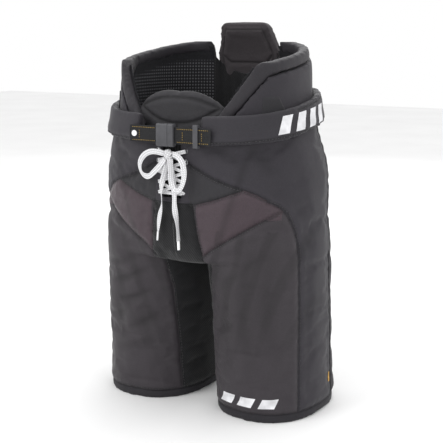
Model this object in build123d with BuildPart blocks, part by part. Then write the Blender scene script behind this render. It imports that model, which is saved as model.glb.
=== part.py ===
"""Padded ice hockey pants, senior size, as an assembly of separate layered pieces.

Millimetres, +Z up. The wearer faces -Y and the wearer's left is +X. The origin is on the
hem plane, under the middle of the object's box. The wall is built in layers, from the
outside in: fabric shell, plastic cap, foam pad, lining. One half is modelled, then mirrored.
"""
import os
from math import copysign, cos, pi, radians, sin, tan

from build123d import *

os.makedirs("parts", exist_ok=True)

# ---------------------------------------------------------------- driving dimensions
REACH = 320.0            # half size of the blocks that cut the pants into zones
TOP = 612.0              # lofts end here, above the highest edge

# Body outline: height, half width, half depth, middle in Y. The leg rows also have a middle in X.
# Above the waist the back leans forward, and the front stays upright.
PELVIS = (
    (252.0, 184.0, 117.0, 12.0),
    (300.0, 179.0, 126.0, 9.5),
    (370.0, 179.0, 127.0, 9.0),
    (430.0, 164.0, 126.5, 8.5),
    (475.0, 151.0, 125.0, 8.0),
    (530.0, 147.0, 122.5, 6.5),
    (572.0, 143.0, 117.0, 1.0),
    (TOP, 137.0, 109.0, -7.0),
)
LEG = (
    (0.0, 84.0, 104.0, 20.0, 105.0),
    (90.0, 84.0, 106.0, 18.0, 102.0),
    (190.0, 84.0, 110.0, 15.0, 99.0),
    (300.0, 84.0, 113.0, 12.0, 95.0),
)
PELVIS_FULLNESS = 2.5    # superellipse exponent, 2 is an ellipse
LEG_FULLNESS = 2.3

# Depth of each layer boundary in the wall: at the side, front and back, inner thigh, crotch
OUTSIDE = (0.0, 0.0, 0.0, 0.0)
RECESSED = (1.0, 1.0, 1.0, 1.0)
SHELL_BACK = (2.4, 2.4, 2.4, 2.4)
CAP_BACK = (4.9, 4.9, 3.6, 4.0)
FOAM_BACK = (14.4, 11.4, 4.6, 7.0)
INSIDE = (16.0, 13.0, 6.2, 8.6)
BELT_FACE = (-13.0, -13.0, 0.0, 0.0)
SPINE_FACE = (-4.0, -4.0, 0.0, 0.0)
SPINE_SKIN_BACK = (-1.6, -1.6, 0.0, 0.0)
SPINE_PLATE_BACK = (1.0, 1.0, 0.0, 0.0)
BELLY_FACE = (17.0, 14.0, 8.0, 10.0)
BELLY_BACK = (29.0, 26.0, 20.0, 22.0)

# Hip joint: the legs swing about an axis along X, and slide on a cylinder about it
HIP_Y, HIP_Z = 8.0, 330.0
HIP_RADIUS = 138.0
HIP_GAP = 0.3

# Seams and edges, in side view as (y, z)
WAIST_SEAM = ((-REACH, 421.0), (REACH, 508.0))
WING_BOTTOM = ((-REACH, 399.0), (REACH, 486.0))
WING_TOP = ((-REACH, 441.0), (REACH, 531.0))
RIM_SIDE = ((-REACH, 542.0), (-52.0, 547.0), (40.0, 562.0), (98.0, 574.0), (110.0, 566.0), (116.0, 550.0),
            (134.0, 505.0))
RIM_DEPTH = 18.0
SEAT_SEAM_Y = 45.0

# Rim of the kidney guards in front view, as (x, z), from the front gap up to the side
RIM_FRONT = ((0.0, 430.0), (46.0, 444.0), (66.0, 463.0), (88.0, 493.0), (106.0, 522.0), (120.0, 545.0),
             (138.0, 612.0))
RIM_FRONT_SHIFT = (13.0, -12.0)      # from the rim's edge to its seam
RIM_FRONT_LIMIT_Y = -30.0

# Hip seam, in front view as (x, z), from the fly round the hip and down the side
HIP_SEAM = ((0.0, 402.0), (28.0, 398.0), (69.0, 377.0), (107.0, 364.0), (145.0, 345.0),
            (166.0, 326.0), (177.0, 300.0), (181.0, 262.0), (183.0, 185.0))

# Fly, front gap and back gap
FLY_HALF, FLY_BOTTOM = 17.0, 345.0
FRONT_GAP_HALF, FRONT_GAP_BOTTOM = 45.0, 428.0
BACK_GAP_HALF, BACK_GAP_BOTTOM = 62.0, 486.0

# Leg seams, in plan
SIDE_SEAM_Y, BACK_SEAM_Y, INNER_SEAM_Y = -41.0, 62.0, -58.0
LEG_MIDDLE_X = 100.0
HEM_HEIGHT = 14.0

# Plates and the crotch gusset, as limits on x, y and z
GUSSET = ((0.0, 34.0), (-92.0, 116.0), (180.0, 300.0))
HIP_CAP = ((120.0, REACH), (-70.0, 41.0), (285.0, 418.0))
TAILBONE_PLATE = ((0.0, 48.0), (SEAT_SEAM_Y, REACH), (310.0, 452.0))
THIGH_CAP = ((58.0, REACH), (-REACH, 40.0), (38.0, 205.0))

# Kidney plate, in side view as (y, z)
KIDNEY_PLATE = ((-58.0, 462.0), (-58.0, 512.0), (-40.0, 520.0), (92.0, 546.0), (92.0, 486.0))

# Spine guard, widest at its shoulder
SPINE_BOTTOM, SPINE_SHOULDER, SPINE_TOP = 488.0, 552.0, 604.0
SPINE_BASE_HALF, SPINE_SHOULDER_HALF, SPINE_TOP_HALF = 56.0, 59.0, 42.0
SPINE_CORNER = 13.0
SPINE_PLATE_INSET = 9.0

# Belly pad
BELLY_BOTTOM, BELLY_TOP, BELLY_HALF = 420.0, 505.0, 78.0
BELLY_CORNER = 14.0      # cut off each lower corner
BELLY_SIDE_TOP = 470.0   # the top edge is an arc from here
BELLY_ARC_MIDDLE = (52.0, 496.0)

# Belt, buckle and adjuster
BELT_Z = 440.0
WING_FRONT_X, WING_BACK_X = 52.0, 84.0
WEBBING_WIDTH, WEBBING_THICK = 25.4, 1.8
WEBBING_Y = -131.3       # middle of the webbing's thickness
BUCKLE_HALF_HEIGHT = 17.0
BUCKLE_CORNER, BUCKLE_EDGE = 3.0, 1.2
SOCKET_X = (-18.0, 2.0)
SOCKET_THICK = 9.4
SOCKET_MOUTH = (4.0, 14.6, 2.7)      # end wall, half height and half thickness
SOCKET_WINDOW_X = (-12.0, -4.0)      # where the prong tips catch
CLIP_X = (2.6, 12.0)
TONGUE_HALF_HEIGHT = 4.0
PRONG_TIP_X, PRONG_HINGE_X, PRONG_Z = -11.0, 6.0, 11.5
PRONG_THICK, PRONG_HINGE_RADIUS = 4.0, 2.0
PRONG_ARM_HALF, PRONG_BARB = 1.4, 2.4
PRONG_BARB_X = (5.0, 6.0)            # the barb's crest and foot, back from the tip
PRONG_ROOM = (2.5, 6.0, 5.2)         # pocket in the clip: radius, length, thickness
ADJUSTER_X = (46.0, 54.0)
ADJUSTER_HALF_THICK, ADJUSTER_CORNER = 3.4, 1.5
ADJUSTER_SLOT = (0.6, 1.7)           # room above the webbing, half thickness
ADJUSTER_FOOT = (2.0, 6.0, 2.4, 12.0)    # start and end in x, start and end in y
STRAP_END_X = 75.0
RIVET_X = -59.0
RIVET_LAP = 9.0                      # webbing past the rivet
RIVET_HEAD, RIVET_SHANK, RIVET_HOLE = 4.5, 1.9, 2.1
RIVET_HEAD_THICK, RIVET_HEAD_EDGE, RIVET_LENGTH = 1.6, 0.9, 14.0

# Lacing
EYELET_X, EYELET_ROWS, EYELET_BOTTOM, EYELET_PITCH = 24.0, 5, 352.0, 16.0
EYELET_FACE_Y, EYELET_THICK = -119.7, 1.3
EYELET_RADIUS, EYELET_HOLE = 4.2, 2.4
LACE_RADIUS = 2.0
LACING_RADIUS = 1.5
LACING_START_Y, LACING_Y = -118.6, -122.6
KNOT = (0.0, -130.0, 411.0)
KNOT_SIZE, KNOT_EDGE = (15.0, 9.0, 12.0), 2.0
KNOT_ROOM = 0.3          # the free ends stop this far outside the knot
LACING_END_X, LACING_END_Y = 6.3, -125.8
TIP_LENGTH, TIP_RADIUS = 14.0, 2.3

# Routes of the four free lace ends, from the knot
LEFT_LOOP = ((7.5, -130.0, 412.0), (19.0, -132.0, 411.0), (29.0, -133.5, 398.0), (31.0, -134.0, 378.0),
             (24.0, -134.0, 360.0), (12.0, -133.5, 357.0), (6.5, -133.0, 373.0), (6.0, -132.5, 391.0),
             (4.5, -131.5, 405.0))
RIGHT_LOOP = ((-7.5, -130.0, 412.0), (-22.0, -132.5, 416.0), (-40.0, -132.5, 411.0), (-53.0, -130.5, 396.0),
              (-50.0, -129.5, 379.0), (-36.0, -130.5, 374.0), (-24.0, -132.0, 384.0), (-13.0, -132.0, 394.0),
              (-5.0, -131.5, 405.0))
LEFT_TAIL = ((2.4, -128.0, 405.0), (4.5, -128.0, 382.0), (9.0, -127.5, 356.0), (8.0, -127.0, 330.0),
             (14.0, -127.0, 305.0), (15.0, -127.0, 281.0))
RIGHT_TAIL = ((-2.4, -128.0, 405.0), (-7.0, -128.0, 384.0), (-16.0, -128.0, 360.0), (-13.0, -127.5, 335.0),
              (-20.0, -127.0, 314.0), (-22.0, -127.0, 292.0))


# ---------------------------------------------------------------- helpers
def save(piece, name):
    """Label one piece and write it as its own STEP file."""
    piece.label = name
    export_step(piece, f"parts/{name}.step")


def save_pair(piece, name):
    """Write a left piece and its mirror image."""
    save(piece, f"left_{name}")
    save(mirror(piece, about=Plane.YZ), f"right_{name}")


def oval(half_width, half_depth, middle_x, middle_y, fullness, count=20):
    """Points of a superellipse, from the front, for a closed spline."""
    ring = []
    for step in range(count):
        angle = 2 * pi * step / count
        across = copysign(abs(sin(angle)) ** (2 / fullness), sin(angle))
        along = copysign(abs(cos(angle)) ** (2 / fullness), cos(angle))
        ring.append((middle_x + half_width * across, middle_y - half_depth * along))
    return ring


def half_pants(depth, with_leg=True):
    """Everything inside one layer boundary of the wall, on the wearer's left."""
    side, front, thigh, crotch = depth
    with BuildPart() as half:
        for height, half_width, half_depth, middle_y in PELVIS:
            floor = crotch if height == PELVIS[0][0] else 0.0
            with BuildSketch(Plane.XY.offset(height + floor)):
                with BuildLine():
                    ring = oval(half_width - side, half_depth - front, 0, middle_y, PELVIS_FULLNESS)
                    Spline(*ring, periodic=True)
                make_face()
        loft()
        split(bisect_by=Plane.YZ)
        if with_leg:
            for height, half_width, half_depth, middle_y, middle_x in LEG:
                width = half_width - (side + thigh) / 2
                with BuildSketch(Plane.XY.offset(height)):
                    with BuildLine():
                        ring = oval(width, half_depth - front, middle_x - (side - thigh) / 2, middle_y,
                                    LEG_FULLNESS)
                        Spline(*ring, periodic=True)
                    make_face()
            loft()
    return half.part


def side_zone(points, width=REACH):
    """A block with its outline in side view, (y, z), on the wearer's left."""
    with BuildPart() as zone:
        with BuildSketch(Plane.YZ):
            with BuildLine():
                Polyline(*points, close=True)
            make_face()
        extrude(amount=width)
    return zone.part


def front_zone(points, y):
    """A block with its outline in front view, (x, z), between two limits in y."""
    with BuildPart() as zone:
        with BuildSketch(Plane.XZ.offset(-y[1])):
            with BuildLine():
                Polyline(*points, close=True)
            make_face()
        extrude(amount=y[1] - y[0])
    return zone.part


def block(x, y, z):
    """A plain block between two limits on each axis."""
    with BuildPart() as zone:
        with BuildSketch(Plane.XY.offset(z[0])):
            with Locations(((x[0] + x[1]) / 2, (y[0] + y[1]) / 2)):
                Rectangle(x[1] - x[0], y[1] - y[0])
        extrude(amount=z[1] - z[0])
    return zone.part


def hip_drum(radius):
    """The cylinder about the hip axis."""
    with BuildPart() as drum:
        with BuildSketch(Plane.YZ.offset(-REACH)):
            with Locations((HIP_Y, HIP_Z)):
                Circle(radius)
        extrude(amount=2 * REACH)
    return drum.part


def wall(outer, inner, keep=(), drop=()):
    """The layer between two boundaries, kept inside every keep zone and outside every drop zone."""
    with BuildPart() as layer:
        add(outer)
        add(inner, mode=Mode.SUBTRACT)
        for zone in keep:
            add(zone, mode=Mode.INTERSECT)
        for zone in drop:
            add(zone, mode=Mode.SUBTRACT)
    return layer.part


def both_halves(half):
    """A left half joined to its mirror image."""
    with BuildPart() as whole:
        add(half)
        mirror(about=Plane.YZ)
    return whole.part


def corner_radii(points):
    """Radius at each corner of a route: as large as its two runs allow."""
    radii = []
    for before, here, after in zip(points, points[1:], points[2:]):
        run_in = Vector(*here) - Vector(*before)
        run_out = Vector(*after) - Vector(*here)
        turn = radians(run_in.get_angle(run_out))
        radii.append(0.45 * min(run_in.length, run_out.length) / tan(turn / 2))
    return radii


def lace_tube(name, points):
    """A free lace end: straight runs joined by tangent arcs."""
    with BuildPart() as tube:
        with BuildLine():
            path = FilletPolyline(*points, radius=corner_radii(points))
        with BuildSketch(Plane(origin=path @ 0, z_dir=path % 0)):
            Circle(LACE_RADIUS)
        sweep(path=path)
        with Locations(KNOT):
            Box(*[size + 2 * KNOT_ROOM for size in KNOT_SIZE], mode=Mode.SUBTRACT)
    save(tube.part, name)


def rod(start, end, radius):
    """A round rod between two points, as an object to add."""
    along = Vector(*end) - Vector(*start)
    return Solid.make_cylinder(radius, along.length, Plane(origin=start, z_dir=along))


# ---------------------------------------------------------------- layer boundaries
outside = half_pants(OUTSIDE)
recessed = half_pants(RECESSED, with_leg=False)
shell_back = half_pants(SHELL_BACK)
cap_back = half_pants(CAP_BACK)
foam_back = half_pants(FOAM_BACK)
inside = half_pants(INSIDE)
belt_face = half_pants(BELT_FACE, with_leg=False)
spine_face = half_pants(SPINE_FACE, with_leg=False)
spine_skin_back = half_pants(SPINE_SKIN_BACK, with_leg=False)
spine_plate_back = half_pants(SPINE_PLATE_BACK, with_leg=False)
belly_face = half_pants(BELLY_FACE, with_leg=False)
belly_back = half_pants(BELLY_BACK, with_leg=False)

# ---------------------------------------------------------------- zones
with BuildPart() as pelvis_zone:
    add(hip_drum(HIP_RADIUS - HIP_GAP))
    add(block((-REACH, REACH), (-REACH, REACH), (HIP_Z, TOP + 5)))
with BuildPart() as leg_zone:
    add(block((-REACH, REACH), (-REACH, REACH), (-5, HIP_Z - HIP_GAP)))
    add(hip_drum(HIP_RADIUS + HIP_GAP), mode=Mode.SUBTRACT)

front_gap = block((-FRONT_GAP_HALF, FRONT_GAP_HALF), (-REACH, 0), (FRONT_GAP_BOTTOM, TOP + 5))
back_gap = block((-BACK_GAP_HALF, BACK_GAP_HALF), (0, REACH), (BACK_GAP_BOTTOM, TOP + 5))
fly_block = block((-FLY_HALF, FLY_HALF), (-REACH, 0), (FLY_BOTTOM, TOP))
above_waist = side_zone((*WAIST_SEAM, (REACH, TOP + 5), (-REACH, TOP + 5)))
below_waist = side_zone((*WAIST_SEAM, (REACH, 0), (-REACH, 0)))
wing_band = side_zone((*WING_BOTTOM, *reversed(WING_TOP)))
under_rim = side_zone((*RIM_SIDE, (REACH, RIM_SIDE[-1][1]), (REACH, 0), (-REACH, 0)))
rim_core = side_zone((*[(y, z - RIM_DEPTH) for y, z in RIM_SIDE], (REACH, RIM_SIDE[-1][1] - RIM_DEPTH),
                      (REACH, 0), (-REACH, 0)))
front_y = (-REACH, RIM_FRONT_LIMIT_Y)
over_rim = front_zone((*RIM_FRONT, (0, TOP)), front_y)
over_core = front_zone(((0, RIM_FRONT[0][1] + RIM_FRONT_SHIFT[1]),
                        *[(x + RIM_FRONT_SHIFT[0], z + RIM_FRONT_SHIFT[1]) for x, z in RIM_FRONT], (0, TOP)),
                       front_y)
front_half = block((0, REACH), (-REACH, SEAT_SEAM_Y), (0, TOP))
back_half = block((0, REACH), (SEAT_SEAM_Y, REACH), (0, TOP))

insert_zone = front_zone((*HIP_SEAM, (0, HIP_SEAM[-1][1])), (HIP_Y - REACH, HIP_Y))
gusset_zone = block(*GUSSET)

# ---------------------------------------------------------------- pelvis: fabric shell
pelvis_drop = (front_gap, back_gap)
lower_drop = (*pelvis_drop, fly_block)

hip_panel = wall(outside, shell_back, (pelvis_zone.part, below_waist, front_half),
                 (*lower_drop, insert_zone, gusset_zone))
save_pair(hip_panel, "hip_panel")

front_insert = wall(outside, shell_back, (pelvis_zone.part, below_waist, front_half, insert_zone),
                    (*lower_drop, gusset_zone))
save_pair(front_insert, "front_insert")

seat_half = wall(outside, shell_back, (pelvis_zone.part, below_waist, back_half), (*pelvis_drop, gusset_zone))
save(both_halves(seat_half), "seat_panel")

gusset_half = wall(outside, shell_back, (pelvis_zone.part, gusset_zone))
save(both_halves(gusset_half), "crotch_gusset")

fly_half = wall(recessed, shell_back, (fly_block, pelvis_zone.part), pelvis_drop)
save(both_halves(fly_half), "fly_gusset")

# ---------------------------------------------------------------- pelvis: foam, caps and lining
hip_cap_zone = block(*HIP_CAP)
tailbone_zone = block(*TAILBONE_PLATE)
kidney_zone = side_zone(KIDNEY_PLATE)

hip_cap = wall(shell_back, cap_back, (hip_cap_zone,))
save_pair(hip_cap, "hip_cap")

hip_pad = wall(shell_back, foam_back, (pelvis_zone.part, below_waist, front_half), (*pelvis_drop, hip_cap))
save_pair(hip_pad, "hip_pad")

tailbone_half = wall(shell_back, cap_back, (tailbone_zone,))
save(both_halves(tailbone_half), "tailbone_plate")

seat_pad_half = wall(shell_back, foam_back, (pelvis_zone.part, below_waist, back_half),
                     (*pelvis_drop, tailbone_half))
save(both_halves(seat_pad_half), "seat_pad")

lining_drop = (*pelvis_drop, over_core)
waist_lining_half = wall(foam_back, inside, (pelvis_zone.part, rim_core), lining_drop)
save(both_halves(waist_lining_half), "waist_lining")

# ---------------------------------------------------------------- kidney guards above the waist
kidney_drop = (*pelvis_drop, over_core)
kidney_cover = wall(outside, shell_back, (above_waist, rim_core), kidney_drop)
save_pair(kidney_cover, "kidney_cover")

kidney_plate = wall(shell_back, cap_back, (above_waist, rim_core, kidney_zone), kidney_drop)
save_pair(kidney_plate, "kidney_plate")

kidney_pad = wall(shell_back, foam_back, (above_waist, rim_core), (*kidney_drop, kidney_plate))
save_pair(kidney_pad, "kidney_pad")

with BuildPart() as guard_core:
    add(rim_core)
    add(over_core, mode=Mode.SUBTRACT)
kidney_rim = wall(outside, inside, (above_waist, under_rim), (*pelvis_drop, over_rim, guard_core.part))
save_pair(kidney_rim, "kidney_rim")

# ---------------------------------------------------------------- belt wings
wing_ends = block((0, WING_BACK_X), (0, REACH), (0, TOP))
belt_wing = wall(belt_face, outside, (wing_band, block((WING_FRONT_X, REACH), (-REACH, REACH), (0, TOP))),
                 (wing_ends,))
save_pair(belt_wing, "belt_wing")

# ---------------------------------------------------------------- legs
front_leg = side_zone(((-REACH, -5), (SIDE_SEAM_Y, -5), (SIDE_SEAM_Y, HIP_Z), (-REACH, HIP_Z)))
inner_strip = block((0, LEG_MIDDLE_X), (INNER_SEAM_Y, REACH), (-5, HIP_Z))
above_hem = block((0, REACH), (-REACH, REACH), (HEM_HEIGHT, HIP_Z))
side_strip = block((LEG_MIDDLE_X, REACH), (SIDE_SEAM_Y, BACK_SEAM_Y), (-5, HIP_Z))
leg_keep = (leg_zone.part, above_hem)

front_panel = wall(outside, shell_back, (*leg_keep, front_leg), (inner_strip,))
save_pair(front_panel, "leg_front_panel")

side_panel = wall(outside, shell_back, (*leg_keep, side_strip))
save_pair(side_panel, "leg_side_panel")

with BuildPart() as front_and_side:
    add(front_leg)
    add(inner_strip, mode=Mode.SUBTRACT)
    add(side_strip)
back_panel = wall(outside, shell_back, leg_keep, (front_and_side.part,))
save_pair(back_panel, "leg_back_panel")

thigh_cap = wall(shell_back, cap_back, (*leg_keep, block(*THIGH_CAP)))
save_pair(thigh_cap, "thigh_cap")

thigh_pad = wall(shell_back, foam_back, leg_keep, (thigh_cap,))
save_pair(thigh_pad, "thigh_pad")

leg_lining = wall(foam_back, inside, leg_keep)
save_pair(leg_lining, "leg_lining")

hem_band = wall(outside, inside, (leg_zone.part, block((0, REACH), (-REACH, REACH), (-5, HEM_HEIGHT))))
save_pair(hem_band, "hem_band")


# ---------------------------------------------------------------- spine guard
def spine_profile(inset):
    """The guard's outline seen from the back, as a block through the back wall."""
    with BuildPart() as profile:
        with BuildSketch(Plane.XZ.offset(-REACH)):
            with BuildLine():
                Polyline((0, SPINE_BOTTOM + inset), (SPINE_BASE_HALF - inset, SPINE_BOTTOM + inset),
                         (SPINE_SHOULDER_HALF - inset, SPINE_SHOULDER - inset / 2),
                         (SPINE_TOP_HALF - inset, SPINE_TOP - inset), (0, SPINE_TOP - inset), close=True)
            make_face()
        extrude(amount=REACH)
        corner = profile.edges().filter_by(Axis.Y).sort_by(Axis.Z)[-2:].sort_by(Axis.X)[-1]
        fillet(corner, SPINE_CORNER - inset / 2)
    return profile.part


spine_block = spine_profile(0)
spine_cover_half = wall(spine_face, spine_skin_back, (spine_block,))
save(both_halves(spine_cover_half), "spine_cover")

spine_plate_half = wall(spine_skin_back, spine_plate_back, (spine_profile(SPINE_PLATE_INSET),))
save(both_halves(spine_plate_half), "spine_plate")

spine_pad_half = wall(spine_skin_back, inside, (spine_block,), (spine_plate_half,))
save(both_halves(spine_pad_half), "spine_pad")

# ---------------------------------------------------------------- belly pad
with BuildPart() as belly_block:
    with BuildSketch(Plane.XZ):
        with BuildLine():
            Polyline((0, BELLY_TOP), (0, BELLY_BOTTOM), (BELLY_HALF - BELLY_CORNER, BELLY_BOTTOM),
                     (BELLY_HALF, BELLY_SIDE_TOP))
            ThreePointArc((BELLY_HALF, BELLY_SIDE_TOP), BELLY_ARC_MIDDLE, (0, BELLY_TOP))
        make_face()
    extrude(amount=REACH)
belly_half = wall(belly_face, belly_back, (belly_block.part,))
save(both_halves(belly_half), "belly_pad")

# ---------------------------------------------------------------- buckle, webbing and adjuster
half_web = WEBBING_WIDTH / 2
web_y = (WEBBING_Y - WEBBING_THICK / 2, WEBBING_Y + WEBBING_THICK / 2)
buckle_y = (WEBBING_Y - SOCKET_THICK / 2, WEBBING_Y + SOCKET_THICK / 2)
tongue_y = (WEBBING_Y - PRONG_THICK / 2, WEBBING_Y + PRONG_THICK / 2)
mouth_wall, mouth_half_height, mouth_half = SOCKET_MOUTH
mouth_y = (WEBBING_Y - mouth_half, WEBBING_Y + mouth_half)
room_radius, room_length, room_thick = PRONG_ROOM
slot_room, slot_half = ADJUSTER_SLOT


def belt_block(x, half_height, y):
    """A block centred on the belt's height."""
    return block(x, y, (BELT_Z - half_height, BELT_Z + half_height))


with BuildPart() as buckle_socket:
    add(belt_block(SOCKET_X, BUCKLE_HALF_HEIGHT, buckle_y))
    fillet(buckle_socket.edges().filter_by(Axis.X), BUCKLE_CORNER)
    fillet(buckle_socket.faces().sort_by(Axis.X)[0].edges(), BUCKLE_EDGE)
    add(belt_block((SOCKET_X[0] + mouth_wall, SOCKET_X[1] + 1), mouth_half_height, mouth_y),
        mode=Mode.SUBTRACT)
    add(belt_block(SOCKET_WINDOW_X, BUCKLE_HALF_HEIGHT + 1, mouth_y), mode=Mode.SUBTRACT)
save(buckle_socket.part, "buckle_socket")

with BuildPart() as buckle_clip:
    add(belt_block(CLIP_X, BUCKLE_HALF_HEIGHT, buckle_y))
    fillet(buckle_clip.edges().filter_by(Axis.X), BUCKLE_CORNER)
    fillet(buckle_clip.faces().sort_by(Axis.X)[-1].edges(), BUCKLE_EDGE)
    add(belt_block((PRONG_TIP_X, CLIP_X[0] + 1), TONGUE_HALF_HEIGHT, tongue_y))
    for side in (-1, 1):
        with BuildSketch(Plane.XZ.offset(-WEBBING_Y - room_thick / 2)):
            with Locations((PRONG_HINGE_X, BELT_Z + side * PRONG_Z)):
                Circle(room_radius)
            with Locations((PRONG_HINGE_X - room_length / 2, BELT_Z + side * PRONG_Z)):
                Rectangle(room_length, 2 * room_radius)
        extrude(amount=room_thick, mode=Mode.SUBTRACT)
save(buckle_clip.part, "buckle_clip")

for side, name in ((1, "upper"), (-1, "lower")):
    with BuildPart() as prong:
        inner, outer, crest = (BELT_Z + side * (PRONG_Z + offset)
                               for offset in (-PRONG_ARM_HALF, PRONG_ARM_HALF, PRONG_BARB))
        with BuildSketch(Plane.XZ.offset(-WEBBING_Y - PRONG_THICK / 2)):
            with Locations((PRONG_HINGE_X, BELT_Z + side * PRONG_Z)):
                Circle(PRONG_HINGE_RADIUS)
            with BuildLine():
                Polyline((PRONG_HINGE_X, inner), (PRONG_TIP_X, inner), (PRONG_TIP_X, outer),
                         (PRONG_TIP_X + PRONG_BARB_X[0], crest), (PRONG_TIP_X + PRONG_BARB_X[1], outer),
                         (PRONG_HINGE_X, outer), close=True)
            make_face()
        extrude(amount=PRONG_THICK)
    save(prong.part, f"{name}_prong")

with BuildPart() as clip_strap:
    add(belt_block((CLIP_X[1], STRAP_END_X), half_web, web_y))
save(clip_strap.part, "clip_strap")

with BuildPart() as strap_adjuster:
    add(belt_block(ADJUSTER_X, BUCKLE_HALF_HEIGHT,
                   (WEBBING_Y - ADJUSTER_HALF_THICK, WEBBING_Y + ADJUSTER_HALF_THICK)))
    fillet(strap_adjuster.edges().filter_by(Axis.X), ADJUSTER_CORNER)
    add(belt_block((ADJUSTER_X[0] - 1, ADJUSTER_X[1] + 1), half_web + slot_room,
                   (WEBBING_Y - slot_half, WEBBING_Y + slot_half)), mode=Mode.SUBTRACT)
    add(belt_block((ADJUSTER_X[0] + ADJUSTER_FOOT[0], ADJUSTER_X[1] + ADJUSTER_FOOT[1]), half_web,
                   (WEBBING_Y + ADJUSTER_FOOT[2], WEBBING_Y + ADJUSTER_FOOT[3])))
    add(belt_wing, mode=Mode.SUBTRACT)
    add(outside, mode=Mode.SUBTRACT)
save(strap_adjuster.part, "strap_adjuster")

right_wing = mirror(belt_wing, about=Plane.YZ)
with BuildPart() as socket_strap:
    add(belt_block((RIVET_X - RIVET_LAP, SOCKET_X[0]), half_web, web_y))
    with BuildSketch(Plane.XZ.offset(-web_y[0])):
        with Locations((RIVET_X, BELT_Z)):
            Circle(RIVET_HOLE)
    extrude(amount=-WEBBING_THICK, mode=Mode.SUBTRACT)
save(socket_strap.part, "socket_strap")

with BuildPart() as belt_rivet:
    with BuildSketch(Plane.XZ.offset(-web_y[0])):
        with Locations((RIVET_X, BELT_Z)):
            Circle(RIVET_HEAD)
    extrude(amount=RIVET_HEAD_THICK)
    fillet(belt_rivet.faces().sort_by(Axis.Y)[0].edges(), RIVET_HEAD_EDGE)
    with BuildSketch(Plane.XZ.offset(-web_y[0])):
        with Locations((RIVET_X, BELT_Z)):
            Circle(RIVET_SHANK)
    extrude(amount=-RIVET_LENGTH)
    add(right_wing, mode=Mode.SUBTRACT)
    add(mirror(outside, about=Plane.YZ), mode=Mode.SUBTRACT)
belt_rivet_solid = belt_rivet.part.solids().sort_by(SortBy.VOLUME)[-1]
save(belt_rivet_solid, "belt_rivet")

# ---------------------------------------------------------------- eyelets, lacing and knot
eyelet_heights = [EYELET_BOTTOM + EYELET_PITCH * row for row in range(EYELET_ROWS)]
eyelet_top = eyelet_heights[-1]

with BuildPart() as eyelets:
    with BuildSketch(Plane.XZ.offset(-EYELET_FACE_Y)):
        with Locations(*[(side * EYELET_X, z) for z in eyelet_heights for side in (-1, 1)]):
            Circle(EYELET_RADIUS)
            Circle(EYELET_HOLE, mode=Mode.SUBTRACT)
    extrude(amount=-EYELET_THICK)
save(eyelets.part, "eyelets")


def lacing_points(side, height):
    """Where the lace comes out of an eyelet, and where it lies in front of it."""
    return (side * EYELET_X, LACING_START_Y, height), (side * EYELET_X, LACING_Y, height)


with BuildPart() as lacing:
    for side in (-1, 1):
        for low, high in zip(eyelet_heights, eyelet_heights[1:]):
            add(rod(lacing_points(side, low)[1], lacing_points(-side, high)[1], LACING_RADIUS))
        for height in eyelet_heights:
            hole, front = lacing_points(side, height)
            add(rod(hole, front, LACING_RADIUS))
            with Locations(front):
                Sphere(LACING_RADIUS)
        top = lacing_points(side, eyelet_top)[1]
        add(rod(top, (side * LACING_END_X, LACING_END_Y, KNOT[2]), LACING_RADIUS))
    add(rod(lacing_points(-1, EYELET_BOTTOM)[1], lacing_points(1, EYELET_BOTTOM)[1], LACING_RADIUS))
    with Locations(KNOT):
        Box(*KNOT_SIZE, mode=Mode.SUBTRACT)
save(lacing.part, "lacing")

with BuildPart() as lace_knot:
    with Locations(KNOT):
        Box(*KNOT_SIZE)
    fillet(lace_knot.edges().filter_by(Axis.Y), KNOT_EDGE)
save(lace_knot.part, "lace_knot")

# ---------------------------------------------------------------- free lace ends
lace_tube("left_lace_loop", LEFT_LOOP)
lace_tube("right_lace_loop", RIGHT_LOOP)
for name, route in (("left", LEFT_TAIL), ("right", RIGHT_TAIL)):
    lace_tube(f"{name}_lace_tail", route)
    tip_start = Vector(*route[-1])
    tip_way = (tip_start - Vector(*route[-2])).normalized()
    with BuildPart() as lace_tip:
        add(rod(tip_start, tip_start + tip_way * TIP_LENGTH, TIP_RADIUS))
    save(lace_tip.part, f"{name}_lace_tip")
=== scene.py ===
"""Looks of the padded hockey pants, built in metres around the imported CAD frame."""
import math

import bmesh
import bpy
import numpy as np
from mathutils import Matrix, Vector, kdtree, noise
from mathutils.bvhtree import BVHTree


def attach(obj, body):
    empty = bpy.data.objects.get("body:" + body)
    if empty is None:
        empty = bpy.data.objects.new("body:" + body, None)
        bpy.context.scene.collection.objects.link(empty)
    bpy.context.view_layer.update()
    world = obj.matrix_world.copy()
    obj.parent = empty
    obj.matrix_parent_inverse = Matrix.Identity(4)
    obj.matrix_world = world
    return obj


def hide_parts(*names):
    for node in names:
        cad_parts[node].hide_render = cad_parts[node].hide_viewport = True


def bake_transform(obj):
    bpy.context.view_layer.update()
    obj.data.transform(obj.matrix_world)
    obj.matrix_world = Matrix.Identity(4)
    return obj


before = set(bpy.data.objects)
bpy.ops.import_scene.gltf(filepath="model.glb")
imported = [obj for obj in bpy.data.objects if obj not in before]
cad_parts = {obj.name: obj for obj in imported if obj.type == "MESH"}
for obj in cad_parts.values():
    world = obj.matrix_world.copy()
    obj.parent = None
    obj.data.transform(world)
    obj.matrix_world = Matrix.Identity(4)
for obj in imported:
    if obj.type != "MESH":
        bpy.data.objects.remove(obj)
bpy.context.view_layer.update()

SIDES = (("left", 1), ("right", -1))
MM = 0.001

# Heights of the waist seam and belt wing edges, which rise towards the back
WAIST = (0.4645, 0.136)
WING_LOW = (0.4425, 0.136)
WING_HIGH = (0.4860, 0.1406)
FRONT_GAP_X, FRONT_GAP_Z = 0.045, 0.428
FLY_X, FLY_Z = 0.017, 0.345
HEM_Z = 0.0135
CROTCH_Z = 0.245
BACK_SEAM_Y = 0.055

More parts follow.
